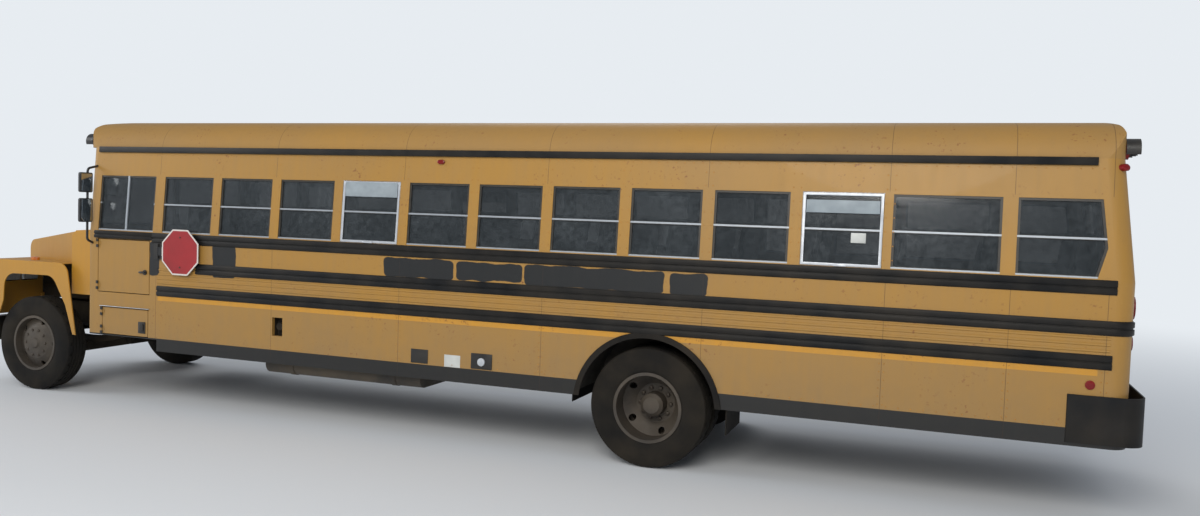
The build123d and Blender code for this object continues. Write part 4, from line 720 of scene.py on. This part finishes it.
# %% Rub rails and drip rails
RAIL_HALF, RAIL_BASE, RAIL_PROUD, RIB_EDGE = 0.053, HALF_WIDTH + 0.005, 0.014, 0.006
BELT_RAIL, SEAT_RAIL, FLOOR_RAIL = 1.729, 1.439, 1.193
RAIL_FRONT, ENTRANCE_REAR, BELT_RAIL_REAR = -3.972, -3.162, 5.540
SEAT_RAIL_FRONT, FLOOR_RAIL_ENDS = -2.640, (-3.133, 5.533)
DOOR_RAIL_LOW, DOOR_RAIL_REAR = 1.702, -3.200
CORNER_RADIUS, CORNER_STEPS = 0.130, 10
GUTTER_Z, GUTTER_HEIGHT, GUTTER_DEPTH, GUTTER_REAR = 2.626, 0.058, 0.027, 5.380


def rub_rail(name, low, high, front, rear, turns=False):
    """A bar with two ribs on the driver's side."""
    back, middle = HALF_WIDTH - 0.005, (low + high) / 2
    bar = block(name, (front, -RAIL_BASE, low), (rear, -back, high))
    mode("EDIT")
    for z in (low + RIB_EDGE, middle - RIB_EDGE, middle + RIB_EDGE, high - RIB_EDGE):
        cut(2, z)
    choose_faces(bar, lambda c, n: n.y < -0.9 and RIB_EDGE < abs(c.z - middle) < (high - low) / 2 - RIB_EDGE)
    bpy.ops.mesh.extrude_region_move(
        TRANSFORM_OT_translate={"value": (0, RAIL_BASE - HALF_WIDTH - RAIL_PROUD, 0)})
    if turns:
        choose_faces(bar, lambda c, n: n.x > 0.9 and c.x > rear - 0.001)
        bpy.ops.mesh.spin(steps=CORNER_STEPS, angle=math.radians(-90), axis=(0, 0, 1),
                          center=(rear, CORNER_RADIUS - HALF_WIDTH, middle))
    mode("OBJECT")
    rounded(bar, 0.003)
    return bar


corner = REAR_FACE - CORNER_RADIUS
door_rail = rub_rail("door_rail", DOOR_RAIL_LOW, BELT_RAIL + RAIL_HALF, RAIL_FRONT, DOOR_RAIL_REAR)
seat_rail = rub_rail("seat_rail", SEAT_RAIL - RAIL_HALF, SEAT_RAIL + RAIL_HALF, SEAT_RAIL_FRONT, corner,
                     turns=True)
gutter_low = up_side(GUTTER_Z) - GUTTER_HEIGHT / 2
gutter = block("gutter", (RAIL_FRONT, 0.005 - GUTTER_DEPTH, gutter_low),
               (GUTTER_REAR, 0.005, gutter_low + GUTTER_HEIGHT))
inset_face(gutter, Vector((0, 0, 1)), (0.004, -0.012))
rounded(gutter, 0.002)
place(gutter, ON_SIDE)
for side, matrix in COPIES:
    front = DOOR_RAIL_REAR if side == "left" else ENTRANCE_REAR
    belt_rail = rub_rail("belt_rail", BELT_RAIL - RAIL_HALF, BELT_RAIL + RAIL_HALF, front, BELT_RAIL_REAR)
    floor_rail = rub_rail("floor_rail", FLOOR_RAIL - RAIL_HALF, FLOOR_RAIL + RAIL_HALF, *FLOOR_RAIL_ENDS)
    bars = [belt_rail, floor_rail, twin(seat_rail, "part"), twin(gutter, "part")]
    if side == "left":
        bars.append(twin(door_rail, "part"))
    rails = join([place(bar, matrix) for bar in bars], f"side_rails_{side}")
    settle(rails, "bus", rail_black)
    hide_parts("rub_rails")
discard(door_rail, seat_rail, gutter)
print("rail faces a side:", len(rails.data.polygons))

# %% [markdown]
# Sheet metal bodies are riveted. A rivet is a small low dome, here the top of a sphere. Rows follow the
# panel joints, the skirt, the window posts, the drip rail and the rub rails: an array modifier repeats
# one dome along each row, and each side's rows are joined into one piece.

# %% Rivets
RIVET, PAIR = 0.0055, 0.018
ARCH_EDGE, ROW_FOOT, ROW_TOP, BUMPER_TOP = 0.700, 0.74, 1.12, 0.98
SKIRT_ROW, HEADER_ROW = 0.725, 2.575
POST_ROW, POST_PAIR, POSTS = (1.85, 2.50), 0.030, 11
FIRST_WINDOW, WINDOW_PITCH = -2.779, 0.711


def rivet_row(first, last, pitch):
    """A row of domes on the driver's side, facing -Y, between two points."""
    first, last = Vector(first), Vector(last)
    count = max(2, round((last - first).length / pitch) + 1)
    dome = start("uv_sphere", "dome", segments=8, ring_count=6, radius=RIVET,
                 rotation=(math.radians(90), 0, 0))
    mode("EDIT")
    cut(1, 0.0005, clear_outer=True)
    bpy.ops.mesh.select_all(action="SELECT")
    bpy.ops.transform.resize(value=(1, 0.5, 1), center_override=(0, 0, 0))
    mode("OBJECT")
    step = (last - first) / (count - 1)
    apply_modifier(dome, "ARRAY", count=count, use_relative_offset=False, use_constant_offset=True,
                   constant_offset_displace=step)
    return place(dome, Matrix.Translation(first))


def rivet_column(x, low, high, pitch, y=0):
    return rivet_row((x, y, low), (x, y, high), pitch)


body_rows = []
for x in SEAMS[2:]:
    # A joint's rows start above the wheel arch or the bumper where one is in the way.
    reach = ARCH_EDGE ** 2 - (abs(x - REAR_AXLE) - 0.02) ** 2
    foot = max(ROW_FOOT, TYRE_RADIUS + math.sqrt(reach)) if reach > 0 else ROW_FOOT
    if x > 5.0:
        foot = BUMPER_TOP
    for offset in (-PAIR, PAIR):
        body_rows.append(rivet_column(x + offset, foot, ROW_TOP, 0.06, -HALF_WIDTH))
for front, rear in ((-3.08, 1.35), (2.82, 5.20)):
    body_rows.append(rivet_row((front, -HALF_WIDTH, SKIRT_ROW), (rear, -HALF_WIDTH, SKIRT_ROW), 0.09))
header = up_side(HEADER_ROW)
body_rows.append(place(rivet_row((-3.90, 0, header), (5.42, 0, header), 0.075), ON_SIDE))
for i in range(POSTS):
    x = FIRST_WINDOW + WINDOW_PITCH * (i - 0.5)
    for offset in (-POST_PAIR, POST_PAIR):
        column = rivet_column(x + offset, up_side(POST_ROW[0]), up_side(POST_ROW[1]), 0.11)
        body_rows.append(place(column, ON_SIDE))
rail_rows = [rivet_row((front, -RAIL_BASE, z), (5.48, -RAIL_BASE, z), 0.15)
             for z, front in ((FLOOR_RAIL, -3.08), (SEAT_RAIL, -2.60), (BELT_RAIL, -3.10))]
for name, rows, finish, slot in (("body_rivets", body_rows, rivet_paint, "body_yellow"),
                                 ("rail_rivets", rail_rows, rail_black, "black_rail")):
    left_rows = join(rows, f"{name}_left")
    for piece in (left_rows, place(twin(left_rows, f"{name}_right"), MIRROR)):
        settle(piece, "bus", finish, angle=60)
print("faces of the rail rivets:", len(left_rows.data.polygons))

# %% [markdown]
# The big warning lamps are in the frame already. Added here are clearance lamps over the front and
# rear, side markers, reflectors and the lamps on the fenders. A lens is a short bar whose end is inset
# and raised, so that it catches the light.

# %% Small lamps and reflectors


def on_surface(node, point, direction):
    """Where a line meets a solid of the frame, and which way its face looks there."""
    hit, spot, normal, _ = nodes[node].ray_cast(Vector(point), Vector(direction).normalized())
    if not hit:
        raise ValueError(f"{node} isn't met from {tuple(point)}")
    return spot, normal if normal.dot(Vector(direction)) < 0 else -normal


def seated_lens(name, node, point, direction, radius, length, lens, slot, body="bus", stretch=None):
    """A domed lens on the surface that a line meets. Its face is inset twice, and pushed out each time."""
    spot, axis = on_surface(node, point, direction)
    piece = start("cylinder", name, vertices=24, radius=radius, depth=length,
                  rotation=axis.to_track_quat("Z", "Y").to_euler())
    inset_face(piece, axis, (radius * 0.18, length * 0.12), (radius * 0.35, length * 0.08))
    if stretch:
        piece.data.transform(Matrix.Diagonal((*stretch, 1)))
    place(piece, Matrix.Translation(spot + axis * length * 0.35))
    settle(piece, body, lens)


RED, AMBER = (red_lens, "lens_red"), (amber_lens, "lens_amber")
CLEARANCE_Y, CLEARANCE_Z, CLEARANCE_SIZE = (-0.42, 0, 0.42), 2.885, (0.022, 0.030)
# Each line starts outside the bus and looks inwards, from past its front, its rear or one side.
AHEAD, BEHIND, BESIDE, ABOVE = -5.0, 7.0, 2.0, 2.2
for i, y in enumerate(CLEARANCE_Y):
    seated_lens(f"front_clearance_lamp_{i}", "roof_shell", (AHEAD, y, CLEARANCE_Z), (1, 0, 0),
                *CLEARANCE_SIZE, *AMBER, stretch=(1, 2.2, 1))
    seated_lens(f"rear_clearance_lamp_{i}", "roof_shell", (BEHIND, y, CLEARANCE_Z), (-1, 0, 0),
                *CLEARANCE_SIZE, *RED, stretch=(1, 2.2, 1))
# Name, node, X, Z, radius, length, stretch
SIDE_LENSES = [("side_marker_middle", "side_wall_{}", 0.073, 2.548, 0.020, 0.022, (1.8, 1, 1)),
               ("side_marker_rear", "rear_wall", 5.540, 2.585, 0.026, 0.030, (1.5, 1, 1)),
               ("side_reflector_rear", "side_wall_{}", 5.401, 1.026, 0.033, 0.010, None)]
for side, sign in SIDES:
    for name, node, x, z, radius, length, stretch in SIDE_LENSES:
        seated_lens(f"{name}_{side}", node.format(side), (x, sign * BESIDE, z), (0, -sign, 0), radius, length,
                    *RED, stretch=stretch)
    seated_lens(f"rear_reflector_{side}", "rear_wall", (BEHIND, sign * 0.95, 1.100), (-1, 0, 0), 0.038, 0.010,
                *RED)
    seated_lens(f"fender_lamp_{side}", "tilting_hood", (-5.05, sign * 1.02, ABOVE), (0, 0, -1), 0.034, 0.034,
                *AMBER, body="hood", stretch=(1.6, 1, 1))
print("pieces so far:", len(added))

# %% [markdown]
# The doors need something to take hold of. The access door has a bar handle on a round rose, the low
# battery door a folded latch and a drip lip over its top, and the rear emergency door a long lever. A
# grab rail on two feet stands inside the entrance.

# %% Handles and latches
HANDLE_X, HANDLE_Z = -3.292, 1.372
rose = stub("rose", (HANDLE_X, -1.224, HANDLE_Z), (0, 1, 0), 0.026, 0.012)
grip = slab("grip", (HANDLE_X - 0.063, -1.248, HANDLE_Z - 0.010),
            (HANDLE_X + 0.017, -1.230, HANDLE_Z + 0.010), 0.006)
neck = stub("neck", (HANDLE_X, -1.233, HANDLE_Z), (0, 1, 0), 0.009, 0.014)
settle(join([rose, grip, neck], "access_door_handle"), "access_hatch", trim_black)
plate = slab("plate", (-3.372, -1.227, 0.742), (-3.280, -1.219, 0.860), 0.003)
paddle = slab("paddle", (-3.356, -1.240, 0.764), (-3.296, -1.226, 0.838), 0.006)
settle(join([plate, paddle], "battery_door_latch"), "battery_hatch", trim_black)
settle(slab("battery_door_lip", (-3.885, -1.238, 0.994), (-3.228, -1.2195, 1.000), 0.002), "bus",
       bright_frame)
LEVER_Y, LEVER_Z = -0.340, 1.330
boss = stub("boss", (5.688, LEVER_Y, LEVER_Z), (1, 0, 0), 0.028, 0.026)
lever = slab("lever", (5.696, LEVER_Y - 0.020, LEVER_Z - 0.012), (5.712, LEVER_Y + 0.190, LEVER_Z + 0.012),
             0.007)
settle(join([boss, lever], "emergency_door_lever"), "rear_door", chrome)
GRAB_X, GRAB_Z = -3.925, 1.40
grab = stub("entrance_grab_rail", (GRAB_X, 1.130, GRAB_Z), (0, 0, 1), 0.014, 0.70)
feet = [stub("foot", (GRAB_X, 1.150, GRAB_Z + rise), (0, 1, 0), 0.010, 0.040) for rise in (-0.33, 0.33)]
settle(join([grab, *feet], "entrance_grab_rail"), "bus", chrome)
print("pieces so far:", len(added))

# %% [markdown]
# Low on the side, ahead of the rear wheel, are three small plates: a black cover, a pale blank sticker
# and a black square with a round bright plug. They sit flat on the skirt's panel.

# %% Plates on the skirt
# Name, limits along X, limits along Z, outer face, radius, finish, slot
SKIRT_PLATES = [
    ("skirt_cover", (-0.158, 0.018), (0.715, 0.842), -1.225, 0.003, trim_black, "black_trim"),
    ("blank_sticker", (0.185, 0.346), (0.705, 0.815), -1.2205, 0.0008, paper_white, "frame_aluminium"),
    ("heater_port_plate", (0.456, 0.664), (0.712, 0.852), -1.227, 0.004, trim_black, "black_trim"),
]
for name, x, z, face, radius, finish, slot in SKIRT_PLATES:
    settle(slab(name, (x[0], face, z[0]), (x[1], 0.0005 - HALF_WIDTH, z[1]), radius), "bus", finish)
plug = stub("heater_port_cap", (0.562, -1.231, 0.778), (0, 1, 0), 0.036, 0.018)
settle(plug, "bus", bright_frame)
print("plates:", len(SKIRT_PLATES))

# %% [markdown]
# The sign is bolted to its arm, above and below the middle, and the mirrors need glass: a thin bright
# plate just inside each head, facing the driver. The number plate's holder beside the rear door is blank.

# %% Sign bolts, mirror glass, plate holder
SIGN_FACE, BOLT_RISE = -1.2655, 0.150
MIRROR_HEADS, MIRROR_Y, MIRROR_RIM = ((1.865, 2.111), (2.172, 2.377)), (1.262, 1.393), 0.012
bolts = [stub("bolt", (SIGN_X, SIGN_FACE, SIGN_Z + rise), (0, 1, 0), 0.009, 0.009, sides=6)
         for rise in (-BOLT_RISE, BOLT_RISE)]
settle(join(bolts, "sign_bolts"), "stop_arm", nut_steel)
for side, sign in SIDES:
    y = sorted(sign * edge_y for edge_y in MIRROR_Y)
    for i, (low, high) in enumerate(MIRROR_HEADS):
        glass_plate = slab(f"mirror_glass_{i}_{side}", (-3.9725, y[0], low + MIRROR_RIM),
                           (-3.9705, y[1], high - MIRROR_RIM), 0.0008)
        settle(glass_plate, "bus", mirror_glass)
holder = slab("plate_holder", (REAR_FACE - 0.001, -0.785, 1.140), (REAR_FACE + 0.004, -0.475, 1.295), 0.002)
inset_face(holder, Vector((1, 0, 0)), (0.007, -0.0025))
settle(holder, "bus", paper_white)
print("pieces so far:", len(added))

# %% [markdown]
# Inside each front fender a black panel keeps spray off the engine. It is one sheet with two pressed
# beads: the strips between cuts are extruded towards the wheel. It tilts with the hood.

# %% Splash panels
SPLASH_Y, SPLASH_FRONT, SPLASH_REAR, SPLASH_LOW, SPLASH_HIGH = 0.575, -5.430, -4.480, 0.960, 1.392
SHEET, BEAD = 0.004, 0.010
BEADS = ((1.06, 1.10), (1.22, 1.26))
for side, sign in SIDES:
    y = sorted((sign * SPLASH_Y, sign * (SPLASH_Y + SHEET)))
    sheet = block(f"splash_panel_{side}", (SPLASH_FRONT, y[0], SPLASH_LOW), (SPLASH_REAR, y[1], SPLASH_HIGH))
    mode("EDIT")
    for z in (*BEADS[0], *BEADS[1]):
        cut(2, z)
    choose_faces(sheet, lambda c, n: n.y * sign > 0.9 and any(low < c.z < high for low, high in BEADS))
    bpy.ops.mesh.extrude_region_move(TRANSFORM_OT_translate={"value": (0, sign * BEAD, 0)})
    mode("OBJECT")
    rounded(sheet, 0.002)
    settle(sheet, "hood", chassis_black)
print("beads a panel:", len(BEADS))

# %% [markdown]
# Two wipers rest at the foot of the windshield. Each is a bent arm on a pivot with a rubber blade.

# %% Wipers
for side, sign in SIDES:
    pivot = stub("pivot", (-4.083, sign * 0.30, 1.815), (-1, 0, 0), 0.016, 0.022)
    arm = slab("arm", (-4.096, sign * 0.56 - 0.26, 1.812), (-4.088, sign * 0.56 + 0.26, 1.824), 0.003)
    blade = slab("blade", (-4.090, sign * 0.66 - 0.30, 1.842), (-4.078, sign * 0.66 + 0.30, 1.856), 0.003)
    link = slab("link", (-4.095, sign * 0.70 - 0.012, 1.815), (-4.086, sign * 0.70 + 0.012, 1.850), 0.002)
    settle(join([pivot, arm, blade, link], f"wiper_{side}"), "bus", trim_black)
print("pieces so far:", len(added))

# %% [markdown]
# Bench seats are foam under vinyl. A pad is a cube cut into a grid; its faces are crowned, its sides
# pull in between the corners and a subdivision surface rounds its edges. The back has a sewn channel
# near its top. One cushion and one back of each width are made and copied, row by row.

# %% Seat pads
FIRST_ROW, ROWS, BENCH_Y = -2.900, 12, 0.670
DRIVER_X, DRIVER_Y = -3.480, -0.700
CUSHION_DEPTH, CUSHION_TOP, CUSHION_THICK = 0.380, 1.520, 0.110
BACK_TOP, BACK_THICK, BACK_RAKE = 2.100, 0.075, 0.090


def pad(name, depth, width, height, crown, pinch):
    """A stuffed box: swollen faces, and edges that draw in towards their middles."""
    piece = start("cube", name, size=1)
    mode("EDIT")
    bpy.ops.mesh.select_all(action="SELECT")
    bpy.ops.mesh.subdivide(number_cuts=7)
    mode("OBJECT")
    half = Vector((depth / 2 - crown, width / 2 - crown, height / 2 - crown))
    for vertex in piece.data.vertices:
        u = [2 * c for c in vertex.co]
        for k in range(3):
            first, second = (1 - u[(k + step) % 3] ** 2 for step in (1, 2))
            on_face = abs(u[k]) > 0.99
            on_edge = on_face and first * second < 0.05
            swell = crown * first * second if on_face else 0
            draw = pinch * max(first, second) if on_edge else 0
            vertex.co[k] = u[k] * half[k] + math.copysign(1, u[k]) * (swell - draw)
    apply_modifier(piece, "SUBSURF", levels=1, render_levels=1)
    return piece


def channel(piece, axis, at, width, depth):
    """A sewn channel round a pad at one height."""
    for vertex in piece.data.vertices:
        near = abs(vertex.co[axis] - at)
        if near < width:
            vertex.co.x *= 1 - depth * (1 - near / width)
    return piece


BENCH_WIDTH, DRIVER_WIDTH = 0.950, 0.480
back_height = math.hypot(BACK_TOP - CUSHION_TOP, BACK_RAKE)
seat_rows = [("driver", DRIVER_X, DRIVER_Y, DRIVER_WIDTH)]
for i in range(ROWS):
    for side, sign in SIDES:
        seat_rows.append((f"{side}_{i + 1}", FIRST_ROW + i * WINDOW_PITCH, sign * BENCH_Y, BENCH_WIDTH))
patterns = {}
for width in (BENCH_WIDTH, DRIVER_WIDTH):
    cushion = pad("cushion", CUSHION_DEPTH, width, CUSHION_THICK, 0.012, 0.006)
    back = pad("back", BACK_THICK, width, back_height + 0.03, 0.010, 0.005)
    channel(back, 2, back_height / 2 - 0.10, 0.018, 0.35)
    patterns[width] = (cushion, back)
rake = math.atan2(BACK_RAKE, BACK_TOP - CUSHION_TOP)
leaning = Matrix.Rotation(rake, 4, "Y")
for name, x, y, width in seat_rows:
    cushion, back = patterns[width]
    middle = (x + CUSHION_DEPTH / 2, y, CUSHION_TOP - CUSHION_THICK / 2)
    base = place(twin(cushion, f"seat_pad_{name}"), Matrix.Translation(middle))
    middle = (x + CUSHION_DEPTH + (BACK_THICK + BACK_RAKE) / 2 - 0.002, y,
              (CUSHION_TOP + BACK_TOP) / 2 - 0.014)
    rest = place(twin(back, f"back_pad_{name}"), Matrix.Translation(middle) @ leaning)
    for piece, node in ((base, "seat_cushions"), (rest, "seat_backs")):
        settle(piece, "bus", seat_vinyl, angle=60)
        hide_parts(node)
for pair in patterns.values():
    discard(*pair)
print("seats:", len(seat_rows), "pieces:", len(added))

# %% [markdown]
# The studio is a pale floor that keeps the shadow and fades into the backdrop, one large soft lamp over
# the camera's shoulder and two weaker ones. The camera sees the bright backdrop, also through the
# glass; all else is lit by a dimmer blue sky, so that the colours stay as written.

# %% Studio
BACKDROP, FLOOR_GREY, SKY_BLUE = (0.80, 0.84, 0.88, 1), (0.76, 0.78, 0.80, 1), (0.80, 0.86, 0.95, 1)
FLOOR_FADE = (5.5, 19.0)

deselect()
bpy.ops.mesh.primitive_plane_add(size=300, location=(0, 0, -0.002))
studio_floor = bpy.context.object
studio_floor.name = "studio_floor"
floor_mix = Recipe("studio floor", roughness=0.9)
floor_mix.use(Base_Color=FLOOR_GREY)
far = floor_mix.node("ShaderNodeVectorMath", {"operation": "LENGTH"}, {0: floor_mix.place}, out=1)
fade_out = floor_mix.node("ShaderNodeMapRange", {"interpolation_type": "SMOOTHSTEP"},
                          {"Value": far, "From Min": FLOOR_FADE[0], "From Max": FLOOR_FADE[1]})
glow = floor_mix.node("ShaderNodeEmission", {}, {"Color": BACKDROP, "Strength": 1.0})
surface = Wire(floor_mix, floor_mix.shader.outputs[0])
blended = floor_mix.node("ShaderNodeMixShader", {}, {0: fade_out, 1: surface, 2: glow})
floor_mix.tree.links.new(blended.socket, floor_mix.tree.nodes["Material Output"].inputs["Surface"])
studio_floor.data.materials.append(floor_mix.material)
studio_floor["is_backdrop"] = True

world = bpy.data.worlds.new("studio")
scene.world = world
world.use_nodes = True
sky = world.node_tree
rays = sky.nodes.new("ShaderNodeLightPath")
backdrop = sky.nodes.new("ShaderNodeBackground")
backdrop.inputs["Color"].default_value = BACKDROP
fill = sky.nodes["Background"]
fill.inputs["Color"].default_value = SKY_BLUE
fill.inputs["Strength"].default_value = 0.45
choose = sky.nodes.new("ShaderNodeMixShader")
seen = sky.nodes.new("ShaderNodeMath")
seen.operation = "MAXIMUM"
for source, target in ((rays.outputs["Is Camera Ray"], seen.inputs[0]),
                       (rays.outputs["Is Transmission Ray"], seen.inputs[1]),
                       (seen.outputs[0], choose.inputs[0]),
                       (fill.outputs[0], choose.inputs[1]),
                       (backdrop.outputs[0], choose.inputs[2]),
                       (choose.outputs[0], sky.nodes["World Output"].inputs["Surface"])):
    sky.links.new(source, target)


def soft_lamp(name, spot, target, size, power, colour=(1, 1, 1)):
    lamp = bpy.data.lights.new(name, "AREA")
    lamp.shape, lamp.size, lamp.energy, lamp.color = "DISK", size, power, colour
    stand = bpy.data.objects.new(name, lamp)
    scene.collection.objects.link(stand)
    stand.location = spot
    stand.rotation_mode = "QUATERNION"
    stand.rotation_quaternion = (Vector(target) - Vector(spot)).to_track_quat("-Z", "Y")


soft_lamp("key", (3, -14, 9), (0, 0, 1.4), 9, 1400, (1, 0.97, 0.92))
soft_lamp("front fill", (-14, -6, 6), (-3, 0, 1.2), 6, 420)
soft_lamp("back", (-3, 13, 11), (0, 0, 1.5), 11, 620)
scene.view_settings.view_transform = "Standard"

# %% Sizes and end
low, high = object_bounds()
print("visual size:", [round(b - a, 3) for a, b in zip(low, high)])
